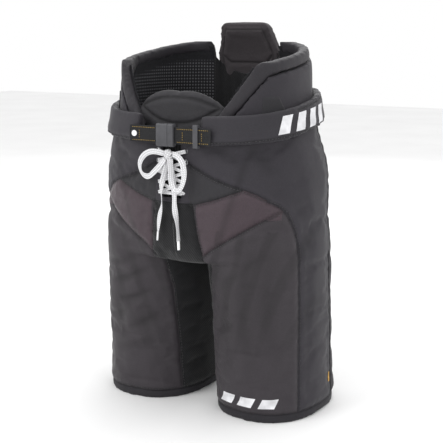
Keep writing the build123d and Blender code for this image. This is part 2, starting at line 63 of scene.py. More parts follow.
# Seams of the wearer's left half in front view, as (x, z)
HIP_SEAM = ((0.017, 0.402), (0.028, 0.398), (0.048, 0.387), (0.069, 0.377), (0.088, 0.370), (0.107, 0.364),
            (0.127, 0.356), (0.145, 0.345))
INSERT_TOP = ((0.030, 0.334), (0.070, 0.346), (0.112, 0.362))
# The hip seam goes on down the side, in side view as (y, z)
SIDE_SEAM = ((-0.083, 0.345), (-0.070, 0.337), (-0.059, 0.325), (-0.050, 0.305), (-0.044, 0.280),
             (-0.041, 0.255), (-0.041, HEM_Z))
DIAGONAL = ((0.040, 0.252), (0.060, 0.268), (0.107, 0.298), (0.135, 0.316), (0.158, 0.330))
INNER_SEAM = ((0.034, -0.02), (0.034, 0.100), (0.036, 0.190), (0.046, 0.255), (0.039, 0.300), (0.034, 0.338))


# ---------------------------------------------------------------- materials
class Shader:
    """A Principled material with a few helpers for procedural detail."""

    def __init__(self, name, roughness, metallic=0.0):
        self.material = bpy.data.materials.new(name)
        self.material.use_nodes = True
        self.tree = self.material.node_tree
        self.surface = self.tree.nodes["Principled BSDF"]
        self.surface.inputs["Roughness"].default_value = roughness
        self.surface.inputs["Metallic"].default_value = metallic
        self.surface.inputs["Specular IOR Level"].default_value = 0.32
        self.position = self.node("ShaderNodeTexCoord").outputs["Object"]

    def node(self, kind, **values):
        made = self.tree.nodes.new(kind)
        for key, value in values.items():
            setattr(made, key, value)
        return made

    def link(self, source, target):
        self.tree.links.new(source, target)

    def noise(self, scale, detail=3.0, source=None):
        made = self.node("ShaderNodeTexNoise")
        made.inputs["Scale"].default_value = scale
        made.inputs["Detail"].default_value = detail
        self.link(source or self.position, made.inputs["Vector"])
        return made.outputs["Fac"]

    def threads(self, period, direction, source=None):
        made = self.node("ShaderNodeTexWave", wave_type="BANDS", bands_direction=direction)
        made.inputs["Scale"].default_value = 2 * math.pi / (20 * period)
        made.inputs["Distortion"].default_value = 0.6
        made.inputs["Detail Scale"].default_value = 3.0
        self.link(source or self.position, made.inputs["Vector"])
        return made.outputs["Fac"]

    def math(self, operation, first, second):
        made = self.node("ShaderNodeMath", operation=operation)
        for socket, value in zip(made.inputs, (first, second)):
            if isinstance(value, (int, float)):
                socket.default_value = value
            else:
                self.link(value, socket)
        return made.outputs[0]

    def ramp(self, source, low, high, start=0.3, end=0.7):
        made = self.node("ShaderNodeValToRGB")
        made.color_ramp.elements[0].position = start
        made.color_ramp.elements[1].position = end
        made.color_ramp.elements[0].color = (*low, 1)
        made.color_ramp.elements[1].color = (*high, 1)
        self.link(source, made.inputs["Fac"])
        return made.outputs["Color"]

    def mix(self, factor, first, second, blend="MIX"):
        made = self.node("ShaderNodeMix", data_type="RGBA", blend_type=blend)
        for socket, value in zip((made.inputs[0], made.inputs[6], made.inputs[7]), (factor, first, second)):
            if isinstance(value, (int, float)):
                socket.default_value = value
            elif isinstance(value, tuple):
                socket.default_value = (*value, 1)
            else:
                self.link(value, socket)
        return made.outputs[2]

    def attribute(self, name):
        return self.node("ShaderNodeAttribute", attribute_name=name).outputs["Fac"]

    def bump(self, height, strength, distance, normal=None):
        made = self.node("ShaderNodeBump")
        made.inputs["Strength"].default_value = strength
        made.inputs["Distance"].default_value = distance
        self.link(height, made.inputs["Height"])
        if normal is not None:
            self.link(normal, made.inputs["Normal"])
        return made.outputs["Normal"]

    def finish(self, colour, normal=None, roughness=None):
        self.link(colour, self.surface.inputs["Base Color"])
        if normal is not None:
            self.link(normal, self.surface.inputs["Normal"])
        if roughness is not None:
            self.link(roughness, self.surface.inputs["Roughness"])
        return self.material


def shade(colour, factor):
    return tuple(min(1.0, channel * factor) for channel in colour)


def woven(name, colour, roughness=0.62, sheen=0.07, period=1.1 * MM, coarse=0.16, wear=0.35):
    """Woven nylon: crossing threads, slubs, a soft mottle, painted shade darkening the seam grooves and
    folds, and paler worn edges.
    """
    made = Shader(name, roughness)
    made.surface.inputs["Sheen Weight"].default_value = sheen
    made.surface.inputs["Sheen Roughness"].default_value = 0.4
    warp = made.threads(period, "DIAGONAL")
    weft = made.threads(period, "Z")
    cloth = made.math("ADD", warp, weft)
    mottle = made.ramp(made.noise(9.0, 4.0), shade(colour, 1 - coarse), shade(colour, 1 + coarse))
    slubs = made.ramp(made.noise(620.0, 2.0), shade(colour, 0.72), shade(colour, 1.3), 0.35, 0.65)
    body = made.mix(0.42, mottle, slubs)
    body = made.mix(made.math("MULTIPLY", cloth, 0.09), body, shade(colour, 1.9))
    # painted shade: darker where the crease attribute marks seam grooves and fold creases
    body = made.mix(made.math("MULTIPLY", made.attribute("crease"), 0.62), body, shade(colour, 0.30))
    body = made.mix(made.math("MULTIPLY", made.attribute("ridge"), wear), body, shade(colour, 1.75))
    body = made.mix(made.math("MULTIPLY", made.attribute("tone"), 0.55), body, shade(colour, 0.45))
    coarse_bump = made.bump(made.noise(95.0, 4.0), 0.25, 1.2 * MM)
    fine = made.bump(cloth, 0.45, 0.35 * MM, coarse_bump)
    rough = made.math("ADD", made.math("MULTIPLY", made.noise(40.0, 3.0), 0.16), roughness - 0.08)
    return made.finish(body, fine, rough)


def knitted(name, colour, period=2.2 * MM):
    """Matt stretch knit with fine ribs."""
    made = Shader(name, 0.9)
    made.surface.inputs["Sheen Weight"].default_value = 0.15
    ribs = made.threads(period, "DIAGONAL")
    loops = made.threads(period * 0.6, "Z")
    height = made.math("MULTIPLY", ribs, loops)
    tone = made.ramp(made.noise(300.0), shade(colour, 0.7), shade(colour, 1.35))
    tone = made.mix(made.math("MULTIPLY", height, 0.25), tone, shade(colour, 2.0))
    # painted shade: darker in seam grooves and folds, by the crease attribute
    tone = made.mix(made.math("MULTIPLY", made.attribute("crease"), 0.5), tone, shade(colour, 0.4))
    return made.finish(tone, made.bump(height, 0.7, 0.6 * MM))


def plastic(name, colour, roughness=0.42):
    """Moulded plastic with a fine spark texture and scuffs."""
    made = Shader(name, roughness)
    grain = made.noise(1500.0, 2.0)
    scuffs = made.noise(60.0, 5.0)
    tone = made.ramp(scuffs, shade(colour, 0.82), shade(colour, 1.25))
    rough = made.math("ADD", made.math("MULTIPLY", scuffs, 0.22), roughness - 0.1)
    return made.finish(tone, made.bump(grain, 0.3, 0.15 * MM), rough)


def metal(name, colour, roughness=0.35):
    """Dark plated metal with faint streaks."""
    made = Shader(name, roughness, 1.0)
    streaks = made.noise(240.0, 4.0)
    tone = made.ramp(streaks, shade(colour, 0.75), shade(colour, 1.2))
    return made.finish(tone, made.bump(streaks, 0.15, 0.1 * MM),
                       made.math("ADD", made.math("MULTIPLY", streaks, 0.2), roughness - 0.1))


def webbing(name, colour, accent=None):
    """Ribbed woven webbing. An accent colour, if one is given, is mixed in where the crease attribute is set.
    """
    made = Shader(name, 0.75)
    ribs = made.threads(1.3 * MM, "X")
    rows = made.threads(2.0 * MM, "Z")
    height = made.math("MULTIPLY", ribs, rows)
    tone = made.ramp(made.noise(400.0), shade(colour, 0.7), shade(colour, 1.5))
    tone = made.mix(made.math("MULTIPLY", height, 0.35), tone, shade(colour, 2.4))
    if accent:
        tone = made.mix(made.attribute("crease"), tone, accent)
    return made.finish(tone, made.bump(height, 0.8, 0.5 * MM))


def liner(name, colour, dots):
    """Dark knitted liner with a printed grid of pale dots."""
    made = Shader(name, 0.85)
    flat = made.node("ShaderNodeUVMap", uv_map="flat").outputs["UV"]
    cells = made.node("ShaderNodeVectorMath", operation="SCALE")
    cells.inputs["Scale"].default_value = 1 / (5.2 * MM)
    made.link(flat, cells.inputs[0])
    fraction = made.node("ShaderNodeVectorMath", operation="FRACTION")
    made.link(cells.outputs[0], fraction.inputs[0])
    centred = made.node("ShaderNodeVectorMath", operation="SUBTRACT")
    centred.inputs[1].default_value = (0.5, 0.5, 0.0)
    made.link(fraction.outputs[0], centred.inputs[0])
    length = made.node("ShaderNodeVectorMath", operation="LENGTH")
    made.link(centred.outputs[0], length.inputs[0])
    dot = made.math("LESS_THAN", length.outputs["Value"], 0.27)
    dot = made.math("MULTIPLY", dot, made.attribute("printed"))
    tone = made.ramp(made.noise(350.0), shade(colour, 0.7), shade(colour, 1.4))
    tone = made.mix(made.math("MULTIPLY", dot, 0.8), tone, dots)
    knit = made.math("MULTIPLY", made.threads(1.6 * MM, "Z"), made.threads(1.6 * MM, "DIAGONAL"))
    height = made.math("ADD", knit, dot)
    return made.finish(tone, made.bump(height, 0.6, 0.5 * MM))


def lace_weave(name, colour):
    """White flat lace: a herringbone weave with a few grey threads."""
    made = Shader(name, 0.8)
    made.surface.inputs["Sheen Weight"].default_value = 0.3
    flat = made.node("ShaderNodeUVMap", uv_map="flat").outputs["UV"]
    first = made.threads(1.5 * MM, "DIAGONAL", flat)
    second = made.threads(3.4 * MM, "X", flat)
    height = made.math("MULTIPLY", first, second)
    tone = made.ramp(height, shade(colour, 0.62), colour, 0.15, 0.5)
    return made.finish(tone, made.bump(first, 0.6, 0.4 * MM))


GREY = (0.023, 0.0205, 0.026)
fabrics = {
    "hip": woven("hip_nylon", GREY),
    "side": woven("side_nylon", (0.016, 0.0145, 0.018), 0.70),
    "front": woven("front_nylon", (0.030, 0.0255, 0.030), 0.58),
    "insert": woven("insert_nylon", (0.044, 0.030, 0.037), 0.46, 0.12, 0.9 * MM),
    "dark": woven("dark_nylon", (0.021, 0.020, 0.023), 0.7),
    "belt": woven("belt_nylon", (0.022, 0.0200, 0.025), 0.6),
    "rim": woven("rim_nylon", (0.020, 0.018, 0.022), 0.6),
    "belly": woven("belly_nylon", (0.022, 0.021, 0.024), 0.66),
    "spine": woven("spine_nylon", (0.034, 0.029, 0.032), 0.72),
    "stretch": knitted("stretch_knit", (0.006, 0.006, 0.007)),
    "thread": knitted("topstitch_thread", (0.038, 0.036, 0.040), 0.5 * MM),
    "gold": knitted("gold_thread", (0.26, 0.17, 0.04), 0.5 * MM),
    "mark": plastic("printed_mark", (0.66, 0.66, 0.68), 0.55),
    "plastic": plastic("acetal", (0.062, 0.062, 0.068)),
    "tip": plastic("lace_tip_film", (0.82, 0.82, 0.84), 0.25),
    "tag": knitted("tag_weave", (0.55, 0.30, 0.04), 0.8 * MM),
    "rivet": plastic("rivet_paint", (0.75, 0.75, 0.76), 0.35),
    "eyelet": metal("eyelet_metal", (0.20, 0.20, 0.21)),
    "webbing": webbing("webbing", (0.010, 0.010, 0.011)),
    "liner": liner("liner_knit", (0.010, 0.010, 0.012), (0.13, 0.13, 0.14)),
    "lace": lace_weave("lace_weave", (0.84, 0.84, 0.86)),
}


# ---------------------------------------------------------------- mesh helpers
def coordinates(obj):
    values = np.empty(len(obj.data.vertices) * 3, np.float32)
    obj.data.vertices.foreach_get("co", values)
    return values.reshape(-1, 3).astype(float)


def set_coordinates(obj, points):
    obj.data.vertices.foreach_set("co", np.asarray(points, np.float32).ravel())
    obj.data.update()


def normals(obj):
    values = np.empty(len(obj.data.vertices) * 3, np.float32)
    obj.data.vertices.foreach_get("normal", values)
    return values.reshape(-1, 3).astype(float)


def set_attribute(obj, name, values):
    layer = obj.data.attributes.get(name) or obj.data.attributes.new(name, "FLOAT", "POINT")
    layer.data.foreach_set("value", np.asarray(values, np.float32))


def mesh_object(name, points, faces, material=None, smooth=True):
    data = bpy.data.meshes.new(name)
    data.from_pydata([tuple(p) for p in points], [], faces)
    data.update()
    obj = bpy.data.objects.new(name, data)
    bpy.context.scene.collection.objects.link(obj)
    if material:
        data.materials.append(fabrics[material])
    if smooth:
        data.polygons.foreach_set("use_smooth", [True] * len(data.polygons))
    return obj


def grid_object(name, points, material, wrap_rows=False, wrap_columns=False, caps=False):
    """A mesh over a grid of points, with a UV map in metres along its rows and columns."""
    rows, columns = points.shape[:2]
    faces = []
    for i in range(rows if wrap_rows else rows - 1):
        below = (i + 1) % rows
        for j in range(columns if wrap_columns else columns - 1):
            beside = (j + 1) % columns
            faces.append((i * columns + j, i * columns + beside,
                          below * columns + beside, below * columns + j))
    if caps:
        faces.append(tuple(reversed(range(columns))))
        faces.append(tuple(range((rows - 1) * columns, rows * columns)))
    obj = mesh_object(name, points.reshape(-1, 3), faces, material)
    along = np.concatenate(([0], np.cumsum(np.linalg.norm(np.diff(points[:, 0], axis=0), axis=1))))
    across = np.concatenate(([0], np.cumsum(np.linalg.norm(np.diff(points[rows // 2], axis=0), axis=1))))
    layer = obj.data.uv_layers.new(name="flat")
    for polygon in obj.data.polygons:
        for corner, vertex in zip(polygon.loop_indices, polygon.vertices):
            row, column = divmod(vertex, columns)
            layer.data[corner].uv = (across[column], along[row])
    if caps or (wrap_rows and wrap_columns):
        face_outwards(obj)
    return obj


def face_outwards(obj):
    work = bmesh.new()
    work.from_mesh(obj.data)
    bmesh.ops.recalc_face_normals(work, faces=work.faces)
    work.to_mesh(obj.data)
    work.free()


def apply_modifiers(obj):
    """Bake every modifier into the mesh."""
    evaluated = obj.evaluated_get(bpy.context.evaluated_depsgraph_get())
    made = bpy.data.meshes.new_from_object(evaluated)
    obj.modifiers.clear()
    obj.data = made
    return obj


def modified(obj, kind, **values):
    made = obj.modifiers.new(kind.title(), kind)
    for key, value in values.items():
        setattr(made, key, value)
    return apply_modifiers(obj)


def subdivide(obj, levels=1):
    return modified(obj, "SUBSURF", levels=levels, render_levels=levels)


def joined(name, objects):
    """One object from several, keeping the first one's data layers."""
    bpy.ops.object.select_all(action="DESELECT")
    for obj in objects:
        obj.select_set(True)
    bpy.context.view_layer.objects.active = objects[0]
    bpy.ops.object.join()
    objects[0].name = name
    objects[0].data.name = name
    return objects[0]


def inflate(obj, pressure, limit, pinned=None, frames=20, slack=0.0):
    """Cloth under pressure: each panel swells between its pinned seams, by at most the limit."""
    rest = coordinates(obj)
    cloth = obj.modifiers.new("Cloth", "CLOTH")
    settings = cloth.settings
    settings.quality = 5
    settings.mass = 0.25
    settings.tension_stiffness = 14
    settings.compression_stiffness = 10
    settings.bending_stiffness = 0.4
    settings.use_pressure = True
    settings.uniform_pressure_force = pressure
    settings.shrink_min = -slack
    settings.effector_weights.gravity = 0
    if pinned is not None:
        group = obj.vertex_groups.new(name="seams")
        for index in np.nonzero(pinned > 0.05)[0]:
            group.add([int(index)], float(min(1.0, pinned[index])), "REPLACE")
        settings.vertex_group_mass = "seams"
    cloth.point_cache.frame_start, cloth.point_cache.frame_end = 1, frames
    for step in range(1, frames + 1):
        bpy.context.scene.frame_set(step)
    evaluated = obj.evaluated_get(bpy.context.evaluated_depsgraph_get())
    moved = coordinates(evaluated) - rest
    obj.modifiers.clear()
    size = np.linalg.norm(moved, axis=1, keepdims=True)
    moved *= np.minimum(1.0, limit / np.maximum(size, 1e-9))
    set_coordinates(obj, rest + moved)
    bpy.context.scene.frame_set(1)
    return obj


# ---------------------------------------------------------------- surfaces read from the frame
class Wall:
    """Outer radius of CAD nodes about an upright axis, as a table of angle and height."""

    def __init__(self, nodes, axis, low, high, rows, columns=240, smoothing=2):
        points, faces = [], []
        for node in nodes:
            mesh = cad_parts[node].data
            base = len(points)
            points += [vertex.co.copy() for vertex in mesh.vertices]
            faces += [[base + v for v in polygon.vertices] for polygon in mesh.polygons]
        tree = BVHTree.FromPolygons(points, faces)
        self.axis, self.low, self.high, self.rows, self.columns = axis, low, high, rows, columns
        table = np.full((rows, columns), np.nan)
        for i, height in enumerate(np.linspace(low, high, rows)):
            for j in range(columns):
                way = self.way(2 * math.pi * j / columns)
                reach = 0.4 if way[0] * axis[0] >= 0 else min(0.4, -(axis[0] - 0.001) / way[0])
                start = Vector((axis[0] + way[0] * reach, axis[1] + way[1] * reach, height))
                hit = tree.ray_cast(start, -Vector((way[0], way[1], 0)), reach - 0.001)
                if hit[0] is not None:
                    table[i, j] = reach - hit[3]
        heights = np.linspace(low, high, rows)
        self.top = np.array([heights[np.nonzero(~np.isnan(table[:, j]))[0].max()] for j in range(columns)])
        for i in range(1, rows):
            missing = np.isnan(table[i])
            table[i, missing] = table[i - 1, missing]
        for _ in range(smoothing):
            table = (np.roll(table, 1, 1) + 2 * table + np.roll(table, -1, 1)) / 4
        self.table = table

    @staticmethod
    def way(angle):
        """Angle 0 points to the wearer's front, and a quarter turn to the wearer's left."""
        return math.sin(angle), -math.cos(angle)

    def radius(self, angle, height):
        across = (angle / (2 * math.pi) % 1) * self.columns
        up = min(max((height - self.low) / (self.high - self.low), 0), 1) * (self.rows - 1)
        j, i = int(across), min(int(up), self.rows - 2)
        s, t = across - j, up - i
        j %= self.columns
        k = (j + 1) % self.columns
        low = self.table[i, j] * (1 - s) + self.table[i, k] * s
        high = self.table[i + 1, j] * (1 - s) + self.table[i + 1, k] * s
        return low * (1 - t) + high * t

    def point(self, angle, height, offset=0.0):
        reach = self.radius(angle, height) + offset
        way = self.way(angle)
        return np.array((self.axis[0] + way[0] * reach, self.axis[1] + way[1] * reach, height))

    def edge(self, angle):
        """Height of the upper edge at an angle."""
        across = (angle / (2 * math.pi) % 1) * self.columns
        j = int(across)
        k = (j + 1) % self.columns
        return self.top[j % self.columns] * (1 - across + j) + self.top[k] * (across - j)


def both(*names):
    return [f"{side}_{name}" for side, _ in SIDES for name in names]


torso = Wall(both("hip_panel", "front_insert", "hip_pad", "kidney_cover", "kidney_rim", "kidney_pad")
             + ["seat_panel", "seat_pad", "fly_gusset"], (0.0, 0.008), 0.264, 0.606, 130)
thigh = Wall(["left_leg_front_panel", "left_leg_side_panel", "left_leg_back_panel", "left_hem_band",
              "left_front_insert", "left_hip_panel", "seat_panel", "crotch_gusset"],
             (0.100, 0.016), 0.001, 0.256, 60)


def leg_point(sign, angle, height, offset=0.0):
    """A point on a leg's outer surface. Angle 0 is the front and a quarter turn the outer side."""
    point = thigh.point(angle, height, offset)
    return np.array((sign * point[0], point[1], point[2]))


def torso_point(sign, angle, height, offset=0.0):
    point = torso.point(angle * sign, height, offset)
    return point


def rising(line, y):
    """A height that rises with y."""
    return line[0] + line[1] * y


# ---------------------------------------------------------------- camera, light and floor
def set_the_scene():
    azimuth, elevation, distance = math.radians(31), math.radians(11), 1.6
    aim = Vector((0.008, 0.010, 0.2876))
    back = Vector((math.sin(azimuth) * math.cos(elevation), -math.cos(azimuth) * math.cos(elevation),
                   math.sin(elevation)))
    camera = bpy.data.objects.new("camera", bpy.data.cameras.new("camera"))
    camera.data.lens = 80.4
    camera.data.sensor_width = 36
    camera.location = aim + back * distance
    camera.rotation_mode = "QUATERNION"
    camera.rotation_quaternion = (-back).to_track_quat("-Z", "Y")
    bpy.context.scene.collection.objects.link(camera)
    bpy.context.scene.camera = camera

    def area(name, place, size, power):
        light = bpy.data.objects.new(name, bpy.data.lights.new(name, "AREA"))
        light.data.size = size
        light.data.energy = power
        light.location = place
        light.rotation_mode = "QUATERNION"
        light.rotation_quaternion = (Vector((0, 0, 0.3)) - Vector(place)).to_track_quat("-Z", "Y")
        bpy.context.scene.collection.objects.link(light)

    area("key", (-1.2, -2.2, 2.0), 1.3, 27)
    area("fill", (2.4, -1.4, 1.3), 1.5, 9)
    area("top", (0.2, 0.3, 2.6), 1.2, 15)
    area("rear", (-0.8, 2.3, 1.6), 1.6, 14)

    world = bpy.data.worlds.new("studio")
    world.use_nodes = True
    world.node_tree.nodes["Background"].inputs["Color"].default_value = (1, 1, 1, 1)
    world.node_tree.nodes["Background"].inputs["Strength"].default_value = 1.0
    bpy.context.scene.world = world
    bpy.context.scene.view_settings.view_transform = "Standard"

    floor = mesh_object("studio_floor", [(-6, -6, 0), (6, -6, 0), (6, 6, 0), (-6, 6, 0)], [(0, 1, 2, 3)])
    paper = Shader("floor_paper", 0.85)
    floor.data.materials.append(paper.finish(
        paper.ramp(paper.noise(3.0), (0.86, 0.86, 0.86), (0.90, 0.90, 0.90))))


set_the_scene()

# ---------------------------------------------------------------- laces
LACE_WIDTH, LACE_THICK = 8.5 * MM, 1.3 * MM
LEFT_LOOP = ((7.5, -130.0, 412.0), (19.0, -132.0, 411.0), (29.0, -133.5, 398.0), (31.0, -134.0, 378.0),
             (24.0, -134.0, 360.0), (12.0, -133.5, 357.0), (6.5, -133.0, 373.0), (6.0, -132.5, 391.0),
             (4.5, -131.5, 405.0))
RIGHT_LOOP = ((-7.5, -130.0, 412.0), (-22.0, -132.5, 416.0), (-40.0, -132.5, 411.0), (-53.0, -130.5, 396.0),
              (-50.0, -129.5, 379.0), (-36.0, -130.5, 374.0), (-24.0, -132.0, 384.0), (-13.0, -132.0, 394.0),
              (-5.0, -131.5, 405.0))
LEFT_TAIL = ((2.4, -128.0, 405.0), (4.5, -128.0, 382.0), (9.0, -127.5, 356.0), (8.0, -127.0, 330.0),
             (14.0, -127.0, 305.0), (15.0, -127.0, 281.0))
RIGHT_TAIL = ((-2.4, -128.0, 405.0), (-7.0, -128.0, 384.0), (-16.0, -128.0, 360.0), (-13.0, -127.5, 335.0),
              (-20.0, -127.0, 314.0), (-22.0, -127.0, 292.0))


def smooth_line(name, route):
    """The points of a NURBS line over a route."""
    data = bpy.data.curves.new(name, "CURVE")
    data.dimensions = "3D"
    spline = data.splines.new("NURBS")
    spline.points.add(len(route) - 1)
    for point, place in zip(spline.points, route):
        point.co = (*(MM * value for value in place), 1)
    spline.order_u = 3
    spline.use_endpoint_u = True
    spline.resolution_u = 12
    carrier = bpy.data.objects.new(name, data)
    bpy.context.scene.collection.objects.link(carrier)
    bpy.context.view_layer.update()
    line = bpy.data.meshes.new_from_object(carrier)
    points = np.array([vertex.co for vertex in line.vertices])
    bpy.data.objects.remove(carrier)
    return points


def ribbon(name, line, facing, width, thick, material, rounding=0.5):
    """A flat band along a line. facing gives, for each point, the way that its flat side looks."""
    step = np.gradient(line, axis=0)
    step /= np.linalg.norm(step, axis=1, keepdims=True)
    rings = []
    count = 12
    for place, way, look in zip(line, step, facing):
        side = np.cross(way, look)
        side /= np.linalg.norm(side)
        face = np.cross(side, way)
        ring = []
        for k in range(count):
            turn = 2 * math.pi * k / count
            flat = math.copysign(abs(math.cos(turn)) ** rounding, math.cos(turn))
            deep = math.copysign(abs(math.sin(turn)) ** 0.8, math.sin(turn))
            ring.append(place + side * flat * width / 2 + face * deep * thick / 2)
        rings.append(ring)
    return grid_object(name, np.array(rings), material, wrap_columns=True, caps=True)


def turned(line, start, end, ripple=0.0):
    """Flat-side directions that turn from one angle to another, in degrees about the line."""
    looks = []
    for share in np.linspace(0, 1, len(line)):
        angle = math.radians(start + (end - start) * share) + ripple * math.sin(9 * share)
        looks.append((math.sin(angle), -math.cos(angle), 0.15 * math.sin(5 * share)))
    return np.array(looks)


def build_laces():
    for name, route, start, end in (("left_lace_loop", LEFT_LOOP, -10, 30),
                                    ("right_lace_loop", RIGHT_LOOP, 15, -35)):
        line = smooth_line(name, route)
        piece = ribbon(name + "_ribbon", line, turned(line, start, end, 0.5), LACE_WIDTH, LACE_THICK, "lace")
        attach(piece, "root")
        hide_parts(name)
    for name, route, start, end in (("left_lace", LEFT_TAIL, -20, 70), ("right_lace", RIGHT_TAIL, 20, -60)):
        line = smooth_line(name, route)
        piece = ribbon(name + "_tail_ribbon", line, turned(line, start, end, 0.6), LACE_WIDTH, LACE_THICK,
                       "lace")
        way = (line[-1] - line[-2]) / np.linalg.norm(line[-1] - line[-2])
        tip_line = np.array([line[-1] + way * 13.5 * MM * share for share in np.linspace(-0.03, 1, 10)])
        tip = ribbon(name + "_tip_film", tip_line, turned(tip_line, end, end), 4.4 * MM, 3.0 * MM, "tip", 0.8)
        for part, node, slot in ((piece, name + "_tail", "lace_cord"), (tip, name + "_tip", "lace_plastic")):
            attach(part, "root")
            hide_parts(node)


build_laces()


# ---------------------------------------------------------------- fabric shell of the pants
def tube(rows, closed_name):
    return grid_object(closed_name, np.array(rows), None, wrap_columns=True, caps=True)


def front_line(points, sign, on, step=1.5 * MM):
    """A seam given in front view, laid on the front of a surface tree."""
    laid = []
    for (x0, z0), (x1, z1) in zip(points, points[1:]):
        count = max(2, int(math.hypot(x1 - x0, z1 - z0) / step))
        for share in np.linspace(0, 1, count, endpoint=False):
            x, z = x0 + (x1 - x0) * share, z0 + (z1 - z0) * share
            hit = on.ray_cast(Vector((sign * x, -0.4, z)), Vector((0, 1, 0)), 0.5)
            if hit[0] is not None:
                laid.append(np.array(hit[0]))
    return laid


def upright_line(y, low, high, sign, on, step=1.5 * MM):
    """A seam in the plane of one y, on the outer side."""
    laid = []
    for z in np.arange(low, high, step):
        hit = on.ray_cast(Vector((sign * 0.4, y, z)), Vector((-sign, 0, 0)), 0.4)
        if hit[0] is not None:
            laid.append(np.array(hit[0]))
    return laid


def side_line(points, sign, on, step=1.5 * MM):
    """A seam given in side view, laid on the outer side."""
    laid = []
    for (y0, z0), (y1, z1) in zip(points, points[1:]):
        count = max(2, int(math.hypot(y1 - y0, z1 - z0) / step))
        for share in np.linspace(0, 1, count, endpoint=False):
            place = (sign * 0.4, y0 + (y1 - y0) * share, z0 + (z1 - z0) * share)
            hit = on.ray_cast(Vector(place), Vector((-sign, 0, 0)), 0.4)
            if hit[0] is not None:
                laid.append(np.array(hit[0]))
    return laid


def back_line(x, low, high, on, step=1.5 * MM):
    laid = []
    for z in np.arange(low, high, step):
        hit = on.ray_cast(Vector((x, 0.4, z)), Vector((0, -1, 0)), 0.5)
        if hit[0] is not None:
            laid.append(np.array(hit[0]))
    return laid


def ring_line(height, sign, on, step=1.5 * MM):
    laid = []
    for angle in np.arange(0, 2 * math.pi, step / 0.095):
        way = Vector((sign * math.sin(angle), -math.cos(angle), 0))
        inward = max(-way.x * sign, 1e-6)
        reach = min(0.2, 0.104 / inward)
        start = Vector((sign * 0.105, 0.02, height)) + way * reach
        hit = on.ray_cast(start, -way, reach)
        if hit[0] is not None:
            laid.append(np.array(hit[0]))
    return laid


def seam_lines(on):
    """Every seam of the shell, by name."""
    seams = {}
    for side, sign in SIDES:
        seams[f"{side}_hip"] = front_line(HIP_SEAM, sign, on)
        seams[f"{side}_insert_top"] = front_line(INSERT_TOP, sign, on)
        seams[f"{side}_diagonal"] = front_line(DIAGONAL, sign, on)
        seams[f"{side}_inner"] = front_line(INNER_SEAM, sign, on)
        seams[f"{side}_side"] = side_line(SIDE_SEAM, sign, on)
        seams[f"{side}_back"] = upright_line(BACK_SEAM_Y, HEM_Z, 0.46, sign, on)
        seams[f"{side}_seat"] = back_line(sign * 0.034, HEM_Z, 0.30, on)
        seams[f"{side}_hem"] = ring_line(HEM_Z + 0.5 * MM, sign, on)
    seams["centre_back"] = back_line(0.0005, 0.30, 0.47, on)
    return seams


def build_body():
    columns = 200
    angles = [2 * math.pi * k / columns for k in range(columns)]
    trunk_rows = [[torso.point(a, CROTCH_Z, -5 * MM) for a in angles]]
    for height in np.linspace(CROTCH_Z + 4 * MM, 0.500, 52):
        trunk_rows.append([torso.point(a, height) for a in angles])
    parts = [tube(trunk_rows, "trunk")]
    for side, sign in SIDES:
        rows = []
        for height in np.linspace(-0.02, 0.300, 60):
            inside = -4 * MM * max(0.0, (height - 0.262) / 0.038)
            rows.append([leg_point(sign, a, height, inside) * (1, 1, 0) + (0, 0, height) for a in angles])
        parts.append(tube(rows, side + "_tube"))
    body = joined("body", parts)
    modified(body, "REMESH", mode="VOXEL", voxel_size=0.0048, use_smooth_shade=True)
    modified(body, "SMOOTH", factor=0.5, iterations=9)
    return body


def tree_of(obj):
    return BVHTree.FromPolygons([v.co for v in obj.data.vertices], [p.vertices for p in obj.data.polygons])


def distance_to(points, targets):
    tree = kdtree.KDTree(len(targets))
    for index, target in enumerate(targets):
        tree.insert(Vector(target), index)
    tree.balance()
    return np.array([tree.find(Vector(p))[2] for p in points])


# Soft folds of the shell in front view: x, z of both ends, width and depth
FOLD_GAIN = 1.7
FOLDS = (
    (0.118, 0.075, 0.128, 0.285, 13, 1.6), (0.080, 0.060, 0.092, 0.250, 14, 1.2),
    (0.150, 0.110, 0.153, 0.270, 10, 1.3), (0.060, 0.205, 0.112, 0.235, 7, 1.2),
    (0.105, 0.232, 0.150, 0.268, 8, 1.3), (0.050, 0.135, 0.100, 0.150, 9, 0.9),
    (0.060, 0.425, 0.110, 0.400, 9, 1.2), (0.120, 0.420, 0.150, 0.380, 8, 1.2),
    (-0.060, 0.225, -0.150, 0.195, 7, 2.1), (-0.055, 0.190, -0.125, 0.165, 6, 1.9),
    (-0.080, 0.240, -0.160, 0.228, 6, 1.6), (-0.050, 0.150, -0.110, 0.118, 7, 1.6),
    (-0.100, 0.150, -0.165, 0.135, 6, 1.4), (-0.120, 0.085, -0.112, 0.210, 12, 1.4),
    (-0.050, 0.400, -0.100, 0.360, 9, 1.4), (-0.070, 0.420, -0.150, 0.385, 9, 1.2),
    (-0.070, 0.100, -0.140, 0.082, 8, 1.1), (-0.060, 0.070, -0.075, 0.180, 11, 1.2),
)


def fold_depth(points):
    """How deep each point lies in a fold, in metres, on the front of the pants."""
    depth = np.zeros(len(points))
    front = np.clip((0.02 - points[:, 1]) / 0.05, 0, 1)
    for x0, z0, x1, z1, width, amount in FOLDS:
        start, along = np.array((x0, z0)), np.array((x1 - x0, z1 - z0))
        flat = points[:, (0, 2)] - start
        share = np.clip(flat @ along / (along @ along), 0, 1)
        curve = 0.06 * np.sin(share * math.pi)[:, None] * np.array((-along[1], along[0]))
        away = np.linalg.norm(flat - share[:, None] * along - curve, axis=1) / (width * MM)
        fade = np.sin(math.pi * np.clip(share * 0.9 + 0.05, 0, 1))
        depth += FOLD_GAIN * amount * MM * np.exp(-away ** 2) * fade * front
    return depth


